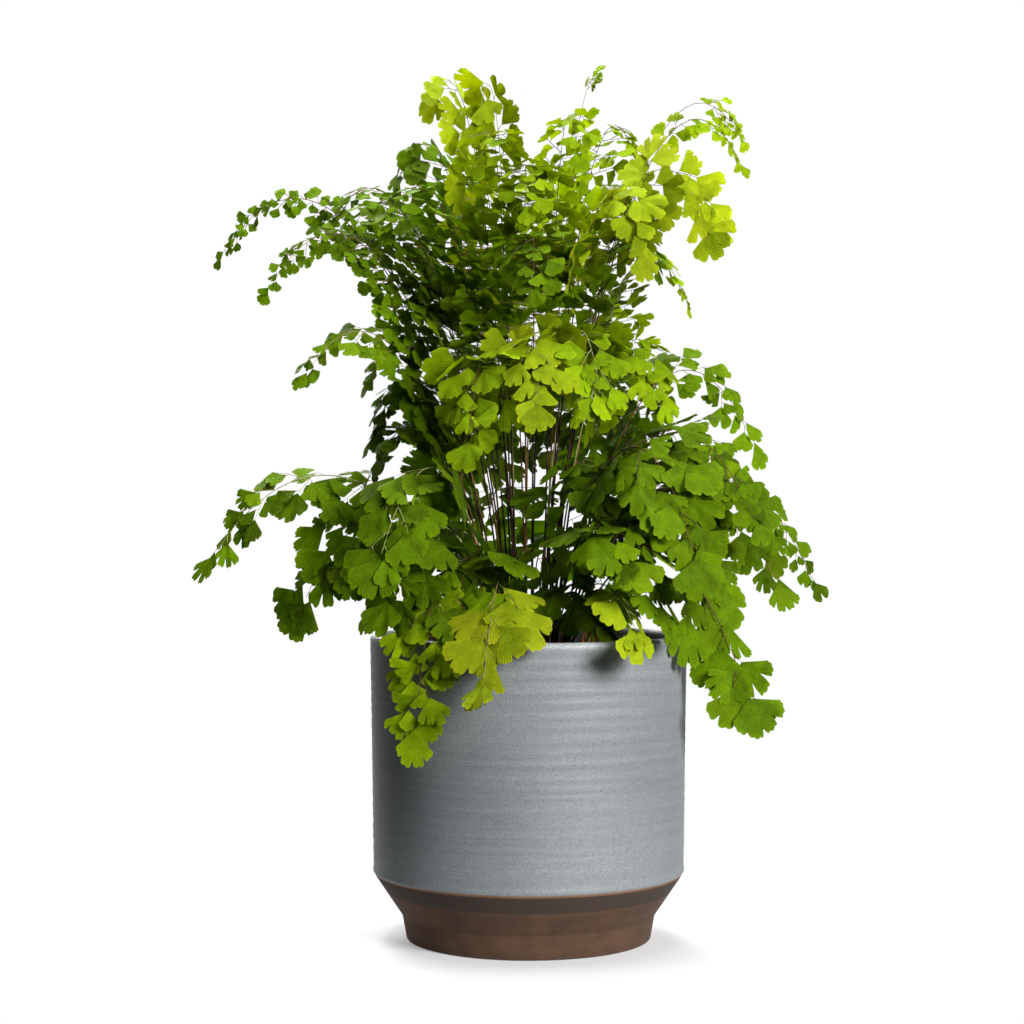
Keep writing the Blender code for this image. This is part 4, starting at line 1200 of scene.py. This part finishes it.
def add_stalk(frond, finish):
    """The stalk, the midrib, the side ribs and the leaflets' own stalks of one frond."""
    run, count = frond["run"], CURVE_STEPS
    youth = frond["chance"].choice(STALK_YOUTHS)
    foot = run[0] - Vector((0, 0, ROOT_DEPTH))
    path = [foot] + run[1:int(count * 0.99)]
    radii = [(STALK_WIDTH + (TIP_WIDTH * WIRE_TIP_SHARE - STALK_WIDTH) * i / count) * WIRE_SHARE
             for i in range(len(path))]
    shapes = [tube(path, radii, WIRE_SIDES)]
    tones = [youth + YOUTH_RISE * np.repeat(np.arange(len(path)) / count, WIRE_SIDES)]
    for rib, (thick, thin) in frond["ribs"]:
        steps = len(rib) - 1
        shapes.append(tube(rib, [thick + (thin - thick) * i / steps for i in range(steps + 1)],
                           4 if steps > 1 else 3))
        tones.append(np.full(len(shapes[-1][0]), youth + RIB_YOUTH))
    piece = add_mesh(frond["name"] + "_stalk", *joined(shapes), finish, 70,
                     {"tone": np.concatenate(tones)})
    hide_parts(frond["name"])


def add_leaflets(frond, stock, finish):
    """Every leaflet of one frond as one piece."""
    chance = frond["chance"]
    points, faces, blades, moods = [], [], [], []
    total = 0
    for kind, base, along, normal, size, tint, youth in frond["leaves"]:
        form, form_faces, marks = chance.choice(stock[kind, size_label(size)])
        turn = np.array([along, normal.cross(along), normal])
        points.append(np.array(base) + (form * size) @ turn)
        faces += [tuple(v + total for v in face) for face in form_faces]
        total += len(form)
        blades.append(marks)
        moods.append(np.tile((tint, youth, 0.0), (len(form), 1)))
    piece = add_mesh(frond["name"] + "_leaflets", np.concatenate(points).tolist(), faces, finish, 60,
                     {"blade": np.concatenate(blades), "mood": np.concatenate(moods)})
    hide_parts(frond["name"])
    "leaf_" + frond["row"][9]


def leaf_finish(name, deep, light):
    """A leaf's finish between two greens; the dark, mid and bright ones are copies of one green,
    painted shade and painted light. The tint of a leaflet is how light it is.
    """
    finish, paint, place = new_finish("leaf_tone_and_painted_light_" + name)
    across, outward, _ = paint.mark("blade", "Vector").parts()
    tint, youth, _ = paint.mark("mood", "Vector").parts()
    # veins fan out from the base, and each forks once and again on its way to the edge
    wobble = place.noise(260.0, 2.0) * 0.035
    spread = across + wobble
    few = paint.maths("PINGPONG", spread * 13.0, 0.5) * 2.0
    many = paint.maths("PINGPONG", spread * 26.0, 0.5) * 2.0
    forked = outward.rise(0.35, 0.62)
    veins = few * (1.0 - forked) + many * forked
    vein = veins.rise(0.42, 0.02) * outward.rise(0.02, 0.30)
    mottle = place.noise(900.0, 3.0, 0.7)
    patches = place.noise(170.0, 3.0, 0.6)
    shade = patches.rise(0.38, 0.62) * 0.55 + mottle.rise(0.36, 0.64) * 0.45
    base = (tint * 0.60 + shade * 0.40).mixed(deep, light)
    yellow = colour(light[0] * 1.38, light[1] * 1.14, light[2])
    base = (youth.rise(0.72, 1.0) * 0.38).mixed(base, yellow)
    # paler yellow at the margin: partly the leaflet's own edge colour, partly painted light
    base = (outward.rise(0.86, 1.0) * 0.30).mixed(base, yellow)
    base = (vein * 0.50).mixed(base, yellow)
    # painted shade: each leaflet is painted darker towards its base
    painted_base_shade = colour(deep[0] * 0.7, deep[1] * 0.72, deep[2])
    base = (outward.rise(0.30, 0.0) * 0.45).mixed(base, painted_base_shade)
    bump = paint.bump(vein * -0.7 + mottle * 0.5, 0.70, 0.0003)
    skin = paint.skin(base, mottle * 0.18 + 0.52, bump, 0.04)
    # light comes through most where the leaflet is thin and pale, and least at the veins
    thick = colour(light[0] * 0.95, light[1] * 0.90, light[2] * 0.5)
    thin = colour(min(light[0] * 3.2, 0.84), min(light[1] * 2.5, 0.90), light[2] * 0.6)
    veined = colour(light[0], light[1] * 0.88, light[2] * 0.83)
    thick, thin, veined = [paint.node("BsdfTranslucent", {}, {"Color": tone, "Normal": bump})
                           for tone in (thick, thin, veined)]
    through = (outward * 0.15 + tint * 0.40 + shade * 0.45).blended(thick, thin)
    through = (vein * 0.40).blended(through, veined)
    paint.show(paint.node("MixShader", {}, {0: LIGHT_THROUGH, 1: skin, 2: through}))
    return finish


grow_all(fronds)
stock = leaf_stock()
wire_finish = stalk_finish()
leaf_finishes = {name: leaf_finish(name, *pair) for name, pair in LEAF_GREENS_AND_PAINTED_LIGHT.items()}
for frond in fronds:
    add_stalk(frond, wire_finish)
    # each frond's leaflets take its listed green, for most fronds a shaded or lit copy of one green
    # that paints their shade and light
    add_leaflets(frond, stock, leaf_finishes[frond["row"][9]])


# ---- the dry leaflets ----
# A few leaflets have died and dropped inside the rim, where they lie on the soil. They have
# turned thin and brown, and rolled up from side to side as they dried.
DRY_COUNT = 9
DRY_SIZES = (0.011, 0.016)
DRY_PLACES = (0.038, 0.066)
DRY_LIFT = 0.0022
DRY_ROLL = 0.17
DRY_BEND = 0.25
DRY_BY_RIM = Vector((0.0262, -0.0640, 0.1462))


def rolled(form):
    """A leaflet's points, bent round its length into an open roll."""
    bent = form.copy()
    around = form[:, 1] / DRY_ROLL * 0.8
    bent[:, 1] = DRY_ROLL * np.sin(around)
    bent[:, 2] += DRY_ROLL * (1 - np.cos(around)) + DRY_BEND * form[:, 0] ** 2
    return bent


def make_dry_leaflets(stock):
    """Rolled leaflets that lie on the soil. The first leans on the inside of the rim."""
    chance = random.Random(31)
    points, faces, marks, total = [], [], [], 0
    for n in range(DRY_COUNT):
        turn, radius = chance.uniform(0, 2 * math.pi), chance.uniform(*DRY_PLACES)
        place = Vector((radius * math.cos(turn), radius * math.sin(turn), 0))
        place.z = soil_height(place.x, place.y) + DRY_LIFT
        along = Vector((chance.uniform(-1, 1), chance.uniform(-1, 1), 0.25)).normalized()
        if n == 0:
            place, along = DRY_BY_RIM, Vector((0.15, 0.1, 1)).normalized()
        side = along.cross(Vector((0.2, 1, 0.1) if n == 0 else (0, 0, -1))).normalized()
        size = chance.uniform(*DRY_SIZES)
        form, form_faces, form_marks = chance.choice(stock["fan", "medium"])
        turn = np.array([along, side, along.cross(side)])
        points.append(np.array(place) + (rolled(form) * size) @ turn)
        faces += [tuple(v + total for v in face) for face in form_faces]
        marks.append(form_marks)
        total += len(form)
    return np.concatenate(points).tolist(), faces, np.concatenate(marks)


def dry_finish():
    finish, paint, place = new_finish("dry_leaf_finish")
    across, outward, _ = paint.mark("blade", "Vector").parts()
    veins = paint.maths("PINGPONG", across * 16.0, 0.5) * 2.0
    mottle = place.noise(420.0, 3.0, 0.6)
    base = mottle.rise(0.3, 0.7).mixed(colour(0.115, 0.042, 0.016), colour(0.330, 0.140, 0.055))
    base = (veins.rise(0.4, 0.0) * 0.5).mixed(base, colour(0.070, 0.026, 0.012))
    base = (outward.rise(0.7, 1.0) * 0.5).mixed(base, colour(0.420, 0.220, 0.100))
    bump = paint.bump(mottle - veins * 0.5, 0.6, 0.0003)
    paint.show(paint.skin(base, mottle * 0.2 + 0.6, bump))
    return finish


dry_points, dry_faces, dry_marks = make_dry_leaflets(stock)
dry_piece = add_mesh("dry_leaflets", dry_points, dry_faces, dry_finish(), 60,
                     {"blade": dry_marks})


# ---- the studio ----
# A white floor that glows, a painted light brightest away from the pot, and fades into a
# white surround, a soft key light low on the right, a wide light overhead, one behind that
# shines through the leaflets, and a camera level with the middle of the plant.
FLOOR_RADIUS = 1.6
FLOOR_SIDES = 96
FLOOR_LEVEL = -0.0002
# each light: its place, what it points at, its width and its power in watts
LIGHTS = {
    "key_light": ((0.82, -1.08, 0.66), (0.0, 0.0, 0.20), 0.60, 42),
    "top_light": ((-0.05, 0.10, 1.60), (0.0, 0.0, 0.30), 0.90, 52),
    "back_light": ((-0.30, 1.10, 1.00), (0.0, 0.0, 0.30), 0.80, 32),
}
CAMERA_PLACE = (-0.00835, -1.094, 0.2146)
CAMERA_LENS = 75.94


def studio_floor():
    """A round floor that glows white, a painted light that grows away from the pot and washes out
    shadows, so it is darker near the pot; further off it fades out altogether.
    """
    turns = [2 * math.pi * i / FLOOR_SIDES for i in range(FLOOR_SIDES)]
    points = [(0, 0, FLOOR_LEVEL)]
    points += [(FLOOR_RADIUS * math.cos(t), FLOOR_RADIUS * math.sin(t), FLOOR_LEVEL) for t in turns]
    faces = [(0, 1 + i, 1 + (i + 1) % FLOOR_SIDES) for i in range(FLOOR_SIDES)]
    mesh = bpy.data.meshes.new("studio_floor")
    mesh.from_pydata(points, [], faces)
    finish, paint, place = new_finish("floor_finish")
    x, y, _ = place.parts()
    away = (x * x + y * y) ** 0.5
    paper = paint.node("BsdfDiffuse", {}, {"Color": colour(0.60, 0.60, 0.60)})
    # painted light: the floor glows white, weakly beside the pot and fully further out, over a grey
    # paper that takes the real shadows
    painted_floor_glow = paint.node("Emission", {}, {"Color": colour(1.0, 1.0, 1.0), "Strength": 1.0})
    paper = (away.rise(0.060, 0.140) * 0.70 + 0.30).blended(paper, painted_floor_glow)
    paint.show(away.rise(0.105, 0.23).blended(paper, paint.node("BsdfTransparent", {}, {})))
    mesh.materials.append(finish)
    floor = bpy.data.objects.new("studio_floor", mesh)
    bpy.context.scene.collection.objects.link(floor)


def white_surround():
    """White to look at, but a source of light only from behind."""
    world = bpy.data.worlds.new("white_surround")
    bpy.context.scene.world = world
    world.use_nodes = True
    world.node_tree.nodes.clear()
    paint = Paint(world.node_tree)
    seen = paint.node("LightPath", {}, {}, "Is Camera Ray")
    x, y, _ = paint.node("TexCoord", {}, {}, "Generated").parts()
    dark, dim, white = [paint.node("Background", {}, {"Color": colour(tone, tone, tone)})
                        for tone in (0.02, 0.09, 1.0)]
    front = x.rise(-0.9, 0.7).blended(dark, dim)
    paint.show(seen.blended(y.rise(0.45, 0.95).blended(front, white), white), "OutputWorld")


def soft_light(name, place, target, size, watts):
    data = bpy.data.lights.new(name, "AREA")
    data.shape, data.size, data.energy = "DISK", size, watts
    lamp = bpy.data.objects.new(name, data)
    lamp.location = place
    lamp.rotation_euler = (Vector(target) - Vector(place)).to_track_quat("-Z", "Y").to_euler()
    bpy.context.scene.collection.objects.link(lamp)


studio_floor()
white_surround()
for light_name, light_facts in LIGHTS.items():
    soft_light(light_name, *light_facts)
camera = bpy.data.objects.new("camera", bpy.data.cameras.new("camera"))
camera.data.lens = CAMERA_LENS
camera.location = CAMERA_PLACE
camera.rotation_euler = (math.pi / 2, 0, 0)
bpy.context.scene.collection.objects.link(camera)
bpy.context.scene.camera = camera
bpy.context.scene.view_settings.view_transform = "Standard"
